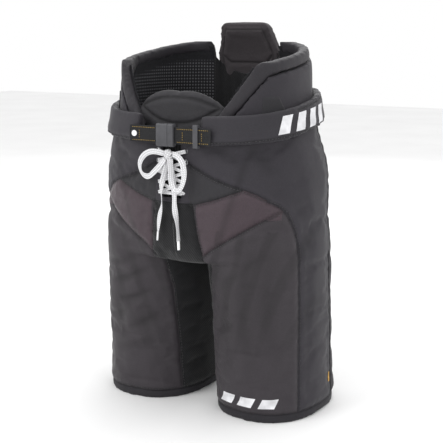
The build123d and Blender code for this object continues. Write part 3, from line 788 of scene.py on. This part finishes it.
def relief(points, seam_distance, seed):
    """Seam grooves, the swell beside them, and loose ripples, as an outward move."""
    groove = -1.7 * MM * np.exp(-(seam_distance / (2.4 * MM)) ** 2)
    swell = 1.0 * MM * np.exp(-((seam_distance - 9 * MM) / (6 * MM)) ** 2)
    ripple = np.array([noise.noise(Vector((p[0] * 26 + seed, p[1] * 26, p[2] * 15))) for p in points])
    pucker = np.array([noise.noise(Vector((p[0] * 120, p[1] * 120, p[2] * 120 + seed))) for p in points])
    near = np.exp(-(seam_distance / (9 * MM)) ** 2)
    return groove + swell + 1.3 * MM * ripple + 0.7 * MM * pucker * near


def streaks(points):
    """Tonal streaks of the printed weave on the fronts: slanted at the thigh, upright lower down."""
    x, z = np.abs(points[:, 0]), points[:, 2]
    front = np.clip((0.02 - points[:, 1]) / 0.04, 0, 1)
    slant = x - 0.32 * (z - 0.2)
    wander = np.array([noise.noise(Vector((p[0] * 14, 3.0, p[2] * 9))) for p in points])
    bands = np.clip(np.sin(2 * math.pi * (slant + 0.010 * wander) / 0.036) * 1.6 - 0.3, 0, 1)
    fade = np.clip((z - 0.07) / 0.12, 0.15, 1) * (z < 0.40)
    insert_band = np.exp(-((slant - 0.050) / 0.006) ** 2) * (z > 0.27)
    return np.clip((0.75 * bands * fade * (z < 0.30) + 0.9 * insert_band) * front, 0, 1)


def cut(obj, plane_point, plane_normal, inside=None, clear=False):
    """Cut the mesh along a plane, only where inside(point) holds for every corner of a face."""
    work = bmesh.new()
    work.from_mesh(obj.data)
    if inside is None:
        chosen = work.faces[:]
    else:
        chosen = [f for f in work.faces if all(inside(v.co) for v in f.verts)]
    parts = set(chosen)
    for face in chosen:
        parts.update(face.edges)
        parts.update(face.verts)
    bmesh.ops.bisect_plane(work, geom=list(parts), dist=1e-6, plane_co=plane_point, plane_no=plane_normal,
                           clear_outer=clear)
    work.to_mesh(obj.data)
    work.free()


def cut_front_line(obj, points, sign, back=0.03):
    """Cut along a seam given in front view, so that panels meet on a clean edge."""
    for x, _ in points:
        low, high = min(z for _, z in points) - 0.03, max(z for _, z in points) + 0.03
        cut(obj, (sign * x, 0, 0), (1, 0, 0), lambda p, x=x: p.y < back and abs(p.x - sign * x) < 0.012
            and low < p.z < high)
    for (x0, z0), (x1, z1) in zip(points, points[1:]):
        left, right = sorted((sign * x0, sign * x1))
        low, high = min(z0, z1) - 0.014, max(z0, z1) + 0.014
        if right - left < 0.004:
            left, right = left - 0.012, right + 0.012
        cut(obj, (sign * x0, 0, z0), (-(z1 - z0), 0, sign * (x1 - x0)),
            lambda p: p.y < back and left - 1e-5 < p.x < right + 1e-5 and low < p.z < high)


def cut_side_line(obj, points, sign):
    """Cut along a seam given in side view."""
    for (y0, z0), (y1, z1) in zip(points, points[1:]):
        near, far = min(y0, y1) - 0.008, max(y0, y1) + 0.008
        low, high = min(z0, z1) - 0.008, max(z0, z1) + 0.008
        cut(obj, (0, y0, z0), (0, -(z1 - z0), y1 - y0),
            lambda p: p.x * sign > 0.12 and near < p.y < far and low < p.z < high)


def height_on(line, x):
    """Height of a front-view seam at x, or None outside it."""
    for (x0, z0), (x1, z1) in zip(line, line[1:]):
        if x0 <= x <= x1:
            return z0 + (z1 - z0) * (x - x0) / max(x1 - x0, 1e-9)
    return None


def inner_x(z):
    """The inner seam's distance from the middle at a height."""
    for (x0, z0), (x1, z1) in zip(INNER_SEAM, INNER_SEAM[1:]):
        if z0 <= z <= z1:
            return x0 + (x1 - x0) * (z - z0) / (z1 - z0)
    return INNER_SEAM[-1][0] if z > INNER_SEAM[-1][1] else INNER_SEAM[0][0]


def panel_of(p):
    """The panel that a point of the shell belongs to."""
    x, y, z = abs(p.x), p.y, p.z
    side = "left" if p.x > 0 else "right"
    if x > 0.12 and SIDE_SEAM[0][0] < y < BACK_SEAM_Y:
        front = y < SIDE_SEAM[-1][0] and z < float(np.interp(y, *zip(*SIDE_SEAM[:6])))
        if not front:
            return side + "_hip"
        if x < 0.158 and z > 0.316:
            return side + "_insert"
        return side + "_leg_front"
    if y > BACK_SEAM_Y:
        return side + ("_seat" if z > 0.245 else "_leg_back")
    if y < 0.03:
        hip = height_on(HIP_SEAM, x)
        top = height_on(INSERT_TOP, x)
        diagonal = height_on(DIAGONAL, x)
        if x < inner_x(z) and z < INNER_SEAM[-1][1]:
            return side + "_gusset"
        if hip is not None and z > hip and y < 0.03:
            return side + "_hip"
        if hip is not None and top is not None and z > top:
            return side + "_fly_triangle"
        if hip is not None and diagonal is not None and z > diagonal and y < 0:
            return side + "_insert"
        if y < SIDE_SEAM[-1][0] and x > 0.034:
            return side + ("_leg_front" if hip is not None or z < 0.30 else "_hip")
    if x < 0.034 and z < 0.30:
        return side + "_gusset"
    if x < 0.10 and z < 0.30:
        return side + "_gusset"
    return side + "_hip"


PANELS = {
    "hip": ("hip", ("hip_panel", "hip_pad", "hip_cap", "leg_side_panel"), "hip_fabric"),
    "seat": ("side", (), "side_fabric"),
    "fly_triangle": ("dark", (), "hip_fabric"),
    "insert": ("insert", ("front_insert",), "insert_fabric"),
    "leg_front": ("front", ("leg_front_panel", "thigh_cap", "thigh_pad"), "front_fabric"),
    "leg_back": ("side", ("leg_back_panel",), "side_fabric"),
    "gusset": ("stretch", (), "stretch_fabric"),
}
CROSSING = {"insert", "leg_front", "leg_back", "gusset", "hip", "seat"}


def split_panels(body):
    """Separate the cut shell into one object for each panel."""
    work = bmesh.new()
    work.from_mesh(body.data)
    groups = {}
    for face in work.faces:
        groups.setdefault(panel_of(face.calc_center_median()), []).append(face.index)
    work.free()
    made = {}
    for name, chosen in groups.items():
        piece = body.copy()
        piece.data = body.data.copy()
        piece.name = name + "_shell"
        bpy.context.scene.collection.objects.link(piece)
        keep = set(chosen)
        work = bmesh.new()
        work.from_mesh(piece.data)
        bmesh.ops.delete(work, geom=[f for f in work.faces if f.index not in keep], context="FACES")
        work.to_mesh(piece.data)
        work.free()
        made[name] = piece
    return made


def stitches(name, lines, on, material="thread", length=3.4 * MM, pitch=5.0 * MM, radius=0.42 * MM,
             lift=0.35 * MM):
    """Raised stitches along lines that lie on a surface."""
    points, faces = [], []
    for line in lines:
        line = np.array(line)
        if len(line) < 3:
            continue
        run = np.concatenate(([0], np.cumsum(np.linalg.norm(np.diff(line, axis=0), axis=1))))
        for start in np.arange(pitch, run[-1] - pitch, pitch):
            if np.interp(start, run, line[:, 2]) < HEM_Z:
                continue
            ends = []
            for place in (start, start + length):
                spot = [np.interp(place, run, line[:, k]) for k in range(3)]
                near, normal, _, _ = on.find_nearest(Vector(spot))
                ends.append((np.array(near), np.array(normal)))
            (a, up), (b, _) = ends
            way = b - a
            if np.linalg.norm(way) < 1e-5:
                continue
            way /= np.linalg.norm(way)
            side = np.cross(way, up)
            base = len(points)
            for share, size in ((0.0, 0.35), (0.25, 1.0), (0.75, 1.0), (1.0, 0.35)):
                middle = a + (b - a) * share + up * lift
                for turn in range(6):
                    angle = turn * math.pi / 3
                    outwards = math.cos(angle) * side * 1.3 + math.sin(angle) * up
                    points.append(middle + radius * size * outwards)
            for ring in range(3):
                for turn in range(6):
                    after = (turn + 1) % 6
                    faces.append((base + ring * 6 + turn, base + ring * 6 + after,
                                  base + ring * 6 + 6 + after, base + ring * 6 + 6 + turn))
            faces.append(tuple(base + k for k in reversed(range(6))))
            faces.append(tuple(base + 18 + k for k in range(6)))
    piece = mesh_object(name, points, faces, material)
    face_outwards(piece)
    return piece


def beside(line, shift, on):
    """A line moved sideways on a surface."""
    line = np.array(line)
    moved = []
    step = np.gradient(line, axis=0)
    for place, way in zip(line, step):
        _, normal, _, _ = on.find_nearest(Vector(place))
        side = np.cross(way, np.array(normal))
        side /= max(np.linalg.norm(side), 1e-9)
        near, _, _, _ = on.find_nearest(Vector(place + side * shift))
        moved.append(np.array(near))
    return moved


body = build_body()
body_tree = tree_of(body)
seams = seam_lines(body_tree)
seam_points = [p for line in seams.values() for p in line[::2]]
rest_points = coordinates(body)
seam_distance = distance_to(rest_points, seam_points)
pins = np.exp(-(seam_distance / (5 * MM)) ** 4)
pins[rest_points[:, 2] < 0.004] = 1
pins[rest_points[:, 2] > 0.47] = 1
inflate(body, 3.0, 3.5 * MM, pins, slack=0.02)
subdivide(body)
points = coordinates(body)
seam_distance = distance_to(points, seam_points)
creases = fold_depth(points)
shift = relief(points, seam_distance, 3.0) - creases
shift *= np.clip((points[:, 2] - 0.0) / 0.01, 0.2, 1)
set_coordinates(body, points + normals(body) * shift[:, None])
# crease: painted shade, from closeness to the seam grooves and the depth of the folds
set_attribute(body, "crease",
              np.clip(0.85 * np.exp(-(seam_distance / (2.6 * MM)) ** 2) + creases / (4 * MM), 0, 1))
set_attribute(body, "ridge", np.clip(np.exp(-((seam_distance - 6 * MM) / (3 * MM)) ** 2) * 0.5, 0, 1))
set_attribute(body, "tone", streaks(points))
body_tree = tree_of(body)

cut(body, (0, 0, HEM_Z), (0, 0, -1), clear=True)
cut(body, (0, 0, WAIST[0] - 0.004), (0, -WAIST[1], 1), clear=True)
cut(body, (0, 0, 0), (1, 0, 0))
cut(body, (0, BACK_SEAM_Y, 0), (0, 1, 0))
for height in (FRONT_GAP_Z, FLY_Z):
    cut(body, (0, 0, height), (0, 0, 1), lambda p: p.y < 0 and abs(p.x) < 0.06)
for _, sign in SIDES:
    cut(body, (sign * FRONT_GAP_X, 0, 0), (1, 0, 0), lambda p: p.y < 0 and p.z > 0.42)
    cut(body, (sign * FLY_X, 0, 0), (1, 0, 0), lambda p: p.y < 0 and p.z > 0.33)
    cut(body, (sign * 0.034, 0, 0), (1, 0, 0), lambda p: p.y > 0.03 and p.z < 0.31)
    for line in (HIP_SEAM, INSERT_TOP, DIAGONAL):
        cut_front_line(body, line, sign)
    cut_side_line(body, SIDE_SEAM, sign)
    cut_front_line(body, [(x, z) for x, z in INNER_SEAM], sign)
cut(body, (0, 0, 0.245), (0, 0, 1), lambda p: p.y > BACK_SEAM_Y - 0.001)
cut(body, (0, 0, 0.300), (0, 0, 1), lambda p: abs(p.x) < 0.04 and 0 < p.y < BACK_SEAM_Y + 0.001)

work = bmesh.new()
work.from_mesh(body.data)
doomed = []
for face in work.faces:
    middle = face.calc_center_median()
    gap = abs(middle.x) < FRONT_GAP_X and middle.z > FRONT_GAP_Z
    fly = abs(middle.x) < FLY_X and middle.z > FLY_Z
    if middle.y < 0 and (gap or fly):
        doomed.append(face)
bmesh.ops.delete(work, geom=doomed, context="FACES")
work.to_mesh(body.data)
work.free()

shells = split_panels(body)
bpy.data.objects.remove(body)
stood_for_once = {"seat": ("seat_panel", "seat_pad", "tailbone_plate"), "gusset": ("crotch_gusset",)}
for name, piece in shells.items():
    side, kind = name.split("_", 1)
    material, stands_for, slot = PANELS[kind]
    piece.data.materials.clear()
    piece.data.materials.append(fabrics[material])
    modified(piece, "SOLIDIFY", thickness=2.0 * MM, offset=-1.0)
    piece.data.polygons.foreach_set("use_smooth", [True] * len(piece.data.polygons))
    if kind in CROSSING:
        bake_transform(piece)
    else:
        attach(piece, "root")
    if stands_for:
        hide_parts(*(f"{side}_{node}" for node in stands_for))
    if side == "left" and kind in stood_for_once:
        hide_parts(*stood_for_once[kind])

for side, sign in SIDES:
    lines = []
    for key in ("hip", "insert_top", "diagonal", "inner", "side", "back", "seat", "hem"):
        line = seams[f"{side}_{key}"]
        lines.append(beside(line, 3.2 * MM * (1 if key != "side" else -1), body_tree))
    piece = stitches(side + "_topstitch", lines, body_tree)
    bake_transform(piece)

# ---------------------------------------------------------------- padded pieces made from the CAD solids
def soften(name, nodes, material, voxel=3.6 * MM, rounds=8, pressure=4.0, limit=2.5 * MM, levels=1):
    """A stuffed piece: the closed skin round some CAD solids, rounded and swollen."""
    parts = []
    for node in nodes:
        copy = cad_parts[node].copy()
        copy.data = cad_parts[node].data.copy()
        copy.parent = None
        copy.matrix_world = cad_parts[node].matrix_world
        bpy.context.scene.collection.objects.link(copy)
        for key in list(copy.keys()):
            del copy[key]
        copy.hide_render = copy.hide_viewport = False
        plain = bpy.data.objects.new(name + "_source", copy.data)
        plain.matrix_world = copy.matrix_world
        bpy.context.scene.collection.objects.link(plain)
        bpy.data.objects.remove(copy)
        parts.append(plain)
    piece = joined(name, parts) if len(parts) > 1 else parts[0]
    piece.name = name
    modified(piece, "REMESH", mode="VOXEL", voxel_size=voxel, use_smooth_shade=True)
    keep_outer_skin(piece)
    modified(piece, "SMOOTH", factor=0.5, iterations=rounds)
    inflate(piece, pressure, limit)
    if levels:
        subdivide(piece, levels)
    piece.data.materials.clear()
    piece.data.materials.append(fabrics[material])
    piece.data.polygons.foreach_set("use_smooth", [True] * len(piece.data.polygons))
    return piece


def keep_outer_skin(obj):
    """Drop closed pockets that lie inside the largest skin."""
    work = bmesh.new()
    work.from_mesh(obj.data)
    left, islands = set(work.verts), []
    while left:
        seed = left.pop()
        island, edge = {seed}, [seed]
        while edge:
            vertex = edge.pop()
            for link in vertex.link_edges:
                other = link.other_vert(vertex)
                if other in left:
                    left.discard(other)
                    island.add(other)
                    edge.append(other)
        islands.append(island)
    largest = max(islands, key=len)
    bmesh.ops.delete(work, geom=[v for v in work.verts if v not in largest], context="VERTS")
    work.to_mesh(obj.data)
    work.free()


def tailor(obj, lines, seed, groove=1.6 * MM, width=2.2 * MM, ripple=0.9 * MM, faces=None):
    """Seams and loose ripples on a stuffed piece."""
    points = coordinates(obj)
    marks = [p for line in lines for p in line]
    away = distance_to(points, marks) if marks else np.full(len(points), 1.0)
    if faces is not None:
        away = np.where(faces(points, normals(obj)), away, 1.0)
    loose = np.array([noise.noise(Vector((p[0] * 30 + seed, p[1] * 30, p[2] * 22))) for p in points])
    pucker = np.array([noise.noise(Vector((p[0] * 130, p[1] * 130, p[2] * 130 + seed))) for p in points])
    shift = -groove * np.exp(-(away / width) ** 2) + 0.5 * MM * np.exp(-((away - 8 * MM) / (5 * MM)) ** 2)
    shift += ripple * loose + 0.5 * MM * pucker * np.exp(-(away / (10 * MM)) ** 2)
    set_coordinates(obj, points + normals(obj) * shift[:, None])
    # crease: painted shade along the seam grooves
    set_attribute(obj, "crease", np.clip(np.exp(-(away / (1.1 * width)) ** 2), 0, 1))
    set_attribute(obj, "ridge", np.clip(np.exp(-((away - 5 * MM) / (3 * MM)) ** 2) * 0.5, 0, 1))


def press_against_lining(obj, deepest=-13.0 * MM):
    """Keep a guard's inner face outside the lining."""
    points = coordinates(obj)
    for point in points:
        flat = point[:2] - np.array(torso.axis)
        reach = float(np.linalg.norm(flat))
        angle = math.atan2(flat[0], -flat[1]) % (2 * math.pi)
        least = torso.radius(angle, point[2]) + deepest
        if reach < least:
            point[:2] += flat * (least / reach - 1)
    set_coordinates(obj, points)


def on_skin(tree, origin, way):
    hit = tree.ray_cast(Vector(origin), Vector(way), 0.6)
    return None if hit[0] is None else np.array(hit[0])


def belt_surface(sign, angle, height):
    """A point on a belt wing's outer face."""
    way = torso.way(angle * sign)
    return on_skin(wing_trees[sign], (way[0] * 0.4, 0.008 + way[1] * 0.4, height), (-way[0], -way[1], 0))


def declare(obj, body, nodes):
    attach(obj, body)
    if nodes:
        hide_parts(*nodes)
    return obj


wing_trees = {}
for side, sign in SIDES:
    # Kidney guard and its rolled rim
    nodes = [f"{side}_kidney_cover", f"{side}_kidney_plate", f"{side}_kidney_pad"]
    guard = soften(side + "_kidney_guard", nodes, "hip", rounds=4, limit=2.0 * MM)
    press_against_lining(guard)
    tailor(guard, [], 11.0, ripple=0.6 * MM)
    declare(guard, "root", nodes)
    rim = soften(side + "_kidney_roll", [side + "_kidney_rim"], "rim", voxel=3.0 * MM, rounds=10,
                 limit=3.0 * MM)
    tailor(rim, [], 5.0, ripple=0.7 * MM)
    declare(rim, "root", [side + "_kidney_rim"])

    # Belt wing with a stitched channel along both edges
    wing = soften(side + "_belt_wing_pad", [side + "_belt_wing"], "belt", voxel=3.2 * MM, rounds=7,
                  pressure=5.0, limit=3.0 * MM)
    wing_trees[sign] = tree_of(wing)
    channels = []
    for line, inset in ((WING_LOW, 5.5 * MM), (WING_HIGH, -5.5 * MM)):
        run = []
        for angle in np.radians(np.arange(22, 150, 0.6)):
            height = line[0] + inset
            for _ in range(3):
                spot = belt_surface(sign, angle, height)
                if spot is None:
                    break
                height = rising(line, spot[1]) + inset
            if spot is not None:
                run.append(spot)
        channels.append(run)
    tailor(wing, channels, 21.0, groove=1.1 * MM, ripple=0.8 * MM)
    wing_trees[sign] = tree_of(wing)
    declare(wing, "root", [side + "_belt_wing"])
    declare(stitches(side + "_belt_topstitch", channels, wing_trees[sign]), "root", ())

    # Hem band and leg lining
    hem = soften(side + "_hem_roll", [side + "_hem_band"], "side", voxel=3.0 * MM, rounds=3, limit=0.8 * MM)
    tailor(hem, [], 31.0, ripple=0.5 * MM)
    declare(hem, side + "_leg", [side + "_hem_band"])
    turns = np.linspace(0, 2 * math.pi, 97)[:-1]
    rows = [[leg_point(sign, a, z, -15 * MM) for a in turns] for z in np.linspace(0.010, 0.250, 48)]
    tube_lining = grid_object(side + "_leg_liner", np.array(rows), "stretch", wrap_columns=True)
    modified(tube_lining, "SOLIDIFY", thickness=1.2 * MM, offset=-1.0)
    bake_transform(tube_lining)
    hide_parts(side + "_leg_lining")


# Spine guard: an inset panel with a stitched outline and a folded lower edge
def spine_half(z):
    """The guard's half width at a height."""
    return float(np.interp(z, (0.488, 0.552, 0.590, 0.604), (0.056, 0.059, 0.046, 0.036)))


spine_nodes = ["spine_cover", "spine_plate", "spine_pad"]
spine = soften("spine_guard_pad", spine_nodes, "spine", voxel=3.2 * MM, rounds=5, pressure=5.0,
               limit=2.5 * MM)
spine_tree = tree_of(spine)
outline = []
for way in (1, -1):
    for face in (1, -1):
        start_y, step_y = (0.3, -1.0) if face > 0 else (0.0, 1.0)
        for z in np.arange(0.500, 0.594, 1.5 * MM):
            spot = on_skin(spine_tree, (way * (spine_half(z) - 0.011), start_y, z), (0, step_y, 0))
            outline += [spot] if spot is not None else []
        for x in np.arange(0.0, 0.036, 1.5 * MM):
            spot = on_skin(spine_tree, (way * x, start_y, 0.592), (0, step_y, 0))
            outline += [spot] if spot is not None else []
            spot = on_skin(spine_tree, (way * x, start_y, 0.5385), (0, step_y, 0))
            outline += [spot] if spot is not None else []
        for share in np.linspace(0, 1, 14):
            spot = on_skin(spine_tree, (way * (0.034 + 0.012 * share), start_y, 0.5385 + 0.012 * share),
                           (0, step_y, 0))
            outline += [spot] if spot is not None else []
tailor(spine, [outline], 41.0, groove=1.5 * MM, width=1.8 * MM, ripple=0.5 * MM)
declare(spine, "spine_guard", spine_nodes)

# Belly pad: a lens-shaped upper panel, a V seam below it and a seam down the middle
belly = soften("belly_pad_cushion", ["belly_pad"], "belly", voxel=3.2 * MM, rounds=6, pressure=5.0,
               limit=3.0 * MM)
belly_tree = tree_of(belly)
belly_lines = []
for way in (1, -1):
    for start, end, bow in (((0.0, 0.455), (0.068, 0.478), -0.006), ((0.0, 0.494), (0.066, 0.480), 0.004),
                            ((0.0, 0.455), (0.0, 0.425), 0.0)):
        run = []
        for share in np.linspace(0, 1, 48):
            x = way * (start[0] + (end[0] - start[0]) * share)
            z = start[1] + (end[1] - start[1]) * share + bow * math.sin(math.pi * share)
            spot = on_skin(belly_tree, (x, -0.3, z), (0, 1, 0))
            run += [spot] if spot is not None else []
        belly_lines.append(run)
tailor(belly, belly_lines, 51.0, groove=2.2 * MM, width=2.4 * MM, ripple=0.7 * MM,
       faces=lambda p, n: n[:, 1] < 0)
declare(belly, "belly_flap", ["belly_pad"])

# Waist lining: a knitted liner printed with a grid of dots
def build_waist_lining():
    turns = np.linspace(0, 2 * math.pi, 241)[:-1]
    heights = np.linspace(0.30, 0.590, 74)
    grid = np.array([[torso.point(a, z, -15.0 * MM) for a in turns] for z in heights])
    lining = grid_object("waist_liner", grid, "liner", wrap_columns=True)
    work = bmesh.new()
    work.from_mesh(lining.data)
    doomed = []
    for face in work.faces:
        p = face.calc_center_median()
        angle = math.atan2(p.x, -(p.y - 0.008)) % (2 * math.pi)
        over = p.z > torso.edge(angle) - 5 * MM
        front = p.y < 0 and abs(p.x) < FRONT_GAP_X and p.z > FRONT_GAP_Z
        rear = p.y > 0 and abs(p.x) < 0.062 and p.z > 0.49
        if over or front or rear:
            doomed.append(face)
    bmesh.ops.delete(work, geom=doomed, context="FACES")
    work.to_mesh(lining.data)
    work.free()
    points = coordinates(lining)
    edges = np.array([torso.edge(math.atan2(p[0], -(p[1] - 0.008)) % (2 * math.pi)) for p in points])
    set_attribute(lining, "printed", np.clip((edges - 0.028 - points[:, 2]) / 0.006, 0, 1))
    loose = np.array([noise.noise(Vector((p[0] * 22, p[1] * 22, p[2] * 18 + 7))) for p in points])
    way = points - np.array((0, 0.008, 0))
    way[:, 2] = 0
    way /= np.linalg.norm(way, axis=1, keepdims=True)
    below = np.clip((edges - 0.016 - points[:, 2]) / 0.02, 0, 1)
    set_coordinates(lining, points - way * (1.2 * MM * np.abs(loose) * below)[:, None])
    modified(lining, "SOLIDIFY", thickness=1.2 * MM, offset=1.0)
    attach(lining, "root")
    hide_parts("waist_lining")


build_waist_lining()


def back_stretch():
    """Stretch knit behind the spine guard, joining the two kidney guards across the back gap."""
    rows = []
    for up in np.linspace(0, 1, 26):
        row = []
        for x in np.linspace(-0.080, 0.080, 49):
            top = 0.520 + 0.030 * (x / 0.080) ** 2
            z = 0.455 + (top - 0.455) * up
            angle = math.pi - math.atan2(x, torso.radius(math.pi, z))
            rib = 0.35 * MM * math.cos(x / 0.004 * 2 * math.pi)
            row.append(torso.point(angle, z, -18.4 * MM + rib))
        rows.append(row)
    knit = grid_object("back_stretch_knit", np.array(rows), "stretch")
    modified(knit, "SOLIDIFY", thickness=1.4 * MM, offset=0.0)
    declare(knit, "root", ())


back_stretch()


# ---------------------------------------------------------------- fly, lacing, knot and straps
def fly_patch():
    xs, zs = np.linspace(-0.021, 0.021, 33), np.linspace(0.338, 0.430, 60)
    rows = []
    for z in zs:
        row = []
        for x in xs:
            angle = math.atan2(x, torso.radius(0, z))
            front = torso.point(angle, z, -1.6 * MM)
            pleat = 0.7 * MM * math.cos(x / 0.0045 * 2 * math.pi) * (abs(x) < 0.017)
            row.append((x, front[1] - pleat + 0.4 * MM * noise.noise(Vector((x * 90, 0, z * 60))), z))
        rows.append(row)
    patch = grid_object("fly_knit", np.array(rows), "stretch")
    modified(patch, "SOLIDIFY", thickness=1.2 * MM, offset=-1.0)
    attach(patch, "root")
    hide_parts("fly_gusset")


def bowed(start, end, rise, count=14):
    """A line between two points that rises towards the wearer's front in the middle."""
    start, end = np.array(start), np.array(end)
    shares = np.linspace(0, 1, count)
    line = start + (end - start) * shares[:, None]
    line[:, 1] -= rise * np.sin(math.pi * shares)
    return line


def lacing_ribbons():
    heights = [0.352 + 0.016 * row for row in range(5)]
    parts = []
    for side in (-1, 1):
        for k, (low, high) in enumerate(zip(heights, heights[1:])):
            rise = (2.4 if (side > 0) == (k % 2 == 0) else 1.0) * MM
            line = bowed((side * 0.0245, -0.1205, low), (-side * 0.0245, -0.1205, high), rise)
            parts.append(ribbon("lace_cross", line, turned(line, 0, 0), 5.0 * MM, 1.2 * MM, "lace"))
        line = bowed((side * 0.0245, -0.1205, heights[-1]), (side * 0.006, -0.1265, 0.411), 1.5 * MM)
        parts.append(ribbon("lace_cross", line, turned(line, 0, 0), 6.0 * MM, 1.2 * MM, "lace"))
    line = bowed((-0.0245, -0.1205, heights[0]), (0.0245, -0.1205, heights[0]), 1.4 * MM)
    parts.append(ribbon("lace_cross", line, turned(line, 0, 0), 5.0 * MM, 1.2 * MM, "lace"))
    lacing = joined("laced_fly", parts)
    declare(lacing, "root", ["lacing"])


def lace_knot():
    parts = []
    for width, reach, tilt, centre in ((8.5, 7.0, 0.25, 0.0), (7.0, 6.2, -0.5, 2.2), (6.0, 6.6, 1.1, -1.5)):
        line, looks = [], []
        for turn in np.linspace(0, 2 * math.pi, 40):
            flat = np.array((centre * MM + 1.2 * MM * math.sin(turn) * tilt, 4.4 * MM * math.sin(turn),
                             reach * MM * math.cos(turn)))
            spun = np.array((flat[0] * math.cos(tilt) - flat[2] * math.sin(tilt), flat[1],
                             flat[0] * math.sin(tilt) + flat[2] * math.cos(tilt)))
            line.append(np.array((0.0, -0.1300, 0.411)) + spun)
            looks.append(spun)
        parts.append(ribbon("knot_wrap", np.array(line), np.array(looks), width * MM, 1.4 * MM, "lace"))
    knot = joined("lace_knot_wraps", parts)
    declare(knot, "root", ["lace_knot"])


BELT_Y, BELT_Z = -0.1313, 0.440
WEBBING_WIDTH, WEBBING_THICK = 25.4 * MM, 1.8 * MM
EDGE_STITCH = 9.6 * MM           # from the middle of the webbing
STRIPE_Z = (0.4305, 0.4500)


def strap(name, node, body, x0, x1, stripes):
    """Belt webbing between two x positions, with gold stitches along its edges and across it."""
    xs = np.arange(x0, x1 + 0.5 * MM, 1.0 * MM)
    line = np.array([(x, BELT_Y + 0.25 * MM * math.sin(x * 210), BELT_Z) for x in xs])
    band = ribbon(name, line, np.array([(0, -1, 0)] * len(line)), WEBBING_WIDTH, WEBBING_THICK, "webbing",
                  0.25)
    subdivide(band)
    declare(band, body, [node])
    tree = tree_of(band)
    spots = [[(x, BELT_Z + side * EDGE_STITCH) for x in np.arange(x0 + 2 * MM, x1 - 2 * MM, MM)]
             for side in (-1, 1)]
    spots += [[(x, z) for z in np.arange(*STRIPE_Z, MM)] for x in stripes]
    edges = [[on_skin(tree, (x, -0.2, z), (0, 1, 0)) for x, z in row] for row in spots]
    edges = [[p for p in row if p is not None] for row in edges]
    thread = stitches(name + "_stitch", edges, tree, "gold", 2.2 * MM, 3.2 * MM, 0.45 * MM)
    declare(thread, body, ())


fly_patch()
lacing_ribbons()
lace_knot()
strap("near_webbing", "clip_strap", "belt_clip", 0.012, 0.075, (0.027, 0.060))
strap("far_webbing", "socket_strap", "root", -0.068, -0.018, (-0.050,))

# Hard parts keep their CAD shape
HARD = {"buckle_socket": "plastic", "buckle_clip": "plastic", "upper_prong": "plastic",
        "lower_prong": "plastic", "strap_adjuster": "plastic", "belt_rivet": "rivet", "eyelets": "eyelet"}
for node, material in HARD.items():
    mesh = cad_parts[node].data
    mesh.materials.clear()
    mesh.materials.append(fabrics[material])


# ---------------------------------------------------------------- printed marks and the tag
def decal(name, tree, corners, material, sign, axis, lift=0.35 * MM, count=14):
    """A thin printed patch on a skin. corners are (angle, height) about an axis, in order round the patch."""
    axis_x, axis_y = axis
    rows = []
    (a0, h0), (a1, h1), (a2, h2), (a3, h3) = corners
    for v in np.linspace(0, 1, 8):
        row = []
        for u in np.linspace(0, 1, count):
            angle = (a0 + (a1 - a0) * u) * (1 - v) + (a3 + (a2 - a3) * u) * v
            height = (h0 + (h1 - h0) * u) * (1 - v) + (h3 + (h2 - h3) * u) * v
            way = (math.sin(angle) * sign, -math.cos(angle))
            start = Vector((axis_x + way[0] * 0.3, axis_y + way[1] * 0.3, height))
            hit, normal, _, _ = tree.ray_cast(start, Vector((-way[0], -way[1], 0)), 0.3)
            if hit is None:
                return None
            row.append(np.array(hit) + np.array(normal) * lift)
        rows.append(row)
    return grid_object(name, np.array(rows), material)


def patch(start, end, low, high):
    """Corners of an upright patch between two angles in degrees and two heights."""
    return tuple((math.radians(angle), height)
                 for angle, height in ((start, low), (end, low), (end, high), (start, high)))


def slanted_bars(name, tree, start, width, gap, low, high, axis, count):
    """A generic mark: slanted bars in a row, with their angles in degrees."""
    bars = []
    for k in range(count):
        a = math.radians(start) + k * (math.radians(width) + math.radians(gap))
        b = a + math.radians(width)
        corners = ((a, low(a)), (b, low(b)), (b + BAR_SLANT, high(b)), (a + BAR_SLANT, high(a)))
        bar = decal(f"{name}_bar", tree, corners, "mark", 1, axis)
        if bar is not None:
            bars.append(bar)
    return joined(name, bars)


def on_wing(height):
    """A height that rises along the belt wing, as a function of the angle round the torso."""
    return lambda a: height + WING_LOW[1] * (TORSO_AXIS[1] - WING_REACH * math.cos(a))


TORSO_AXIS, LEG_AXIS = (0, 0.008), (0.100, 0.016)
WING_REACH = 0.13
BAR_SLANT = math.radians(4)
RECESS = ((56, 0.462), (74, 0.468), (68, 0.497), (58, 0.497))
VENT = ((112, 0.268), (117, 0.268), (115, 0.284), (113, 0.284))

for side, sign in SIDES:
    guard_tree = tree_of(bpy.data.objects[side + "_kidney_guard"])
    recess_corners = [(math.radians(angle), height) for angle, height in RECESS]
    vent_corners = [(math.radians(angle), height) for angle, height in VENT]
    recess = decal(side + "_guard_recess", guard_tree, recess_corners, "dark", sign, TORSO_AXIS)
    loop = decal(side + "_guard_loop", guard_tree, patch(50, 54.5, 0.460, 0.500), "rim", sign, TORSO_AXIS,
                 1.6 * MM)
    for piece in (recess, loop):
        if piece is not None:
            modified(piece, "SOLIDIFY", thickness=1.2 * MM, offset=-1.0)
            declare(piece, "root", ())
    vent = decal(side + "_side_vent", body_tree, vent_corners, "stretch", sign, TORSO_AXIS)
    if vent is not None:
        declare(vent, "root", ())

wing_mark = slanted_bars("wing_mark", wing_trees[1], 62, 7, 4.5, on_wing(0.4500), on_wing(0.4765),
                         TORSO_AXIS, 4)
declare(wing_mark, "root", ())
hem_mark = slanted_bars("hem_mark", body_tree, -24, 14, 6, lambda a: 0.0240, lambda a: 0.0390, LEG_AXIS, 3)
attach(hem_mark, "left_leg")
tag = decal("side_tag", body_tree, patch(105, 109, 0.040, 0.056), "tag", 1, LEG_AXIS, lift=0.8 * MM)
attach(tag, "left_leg")
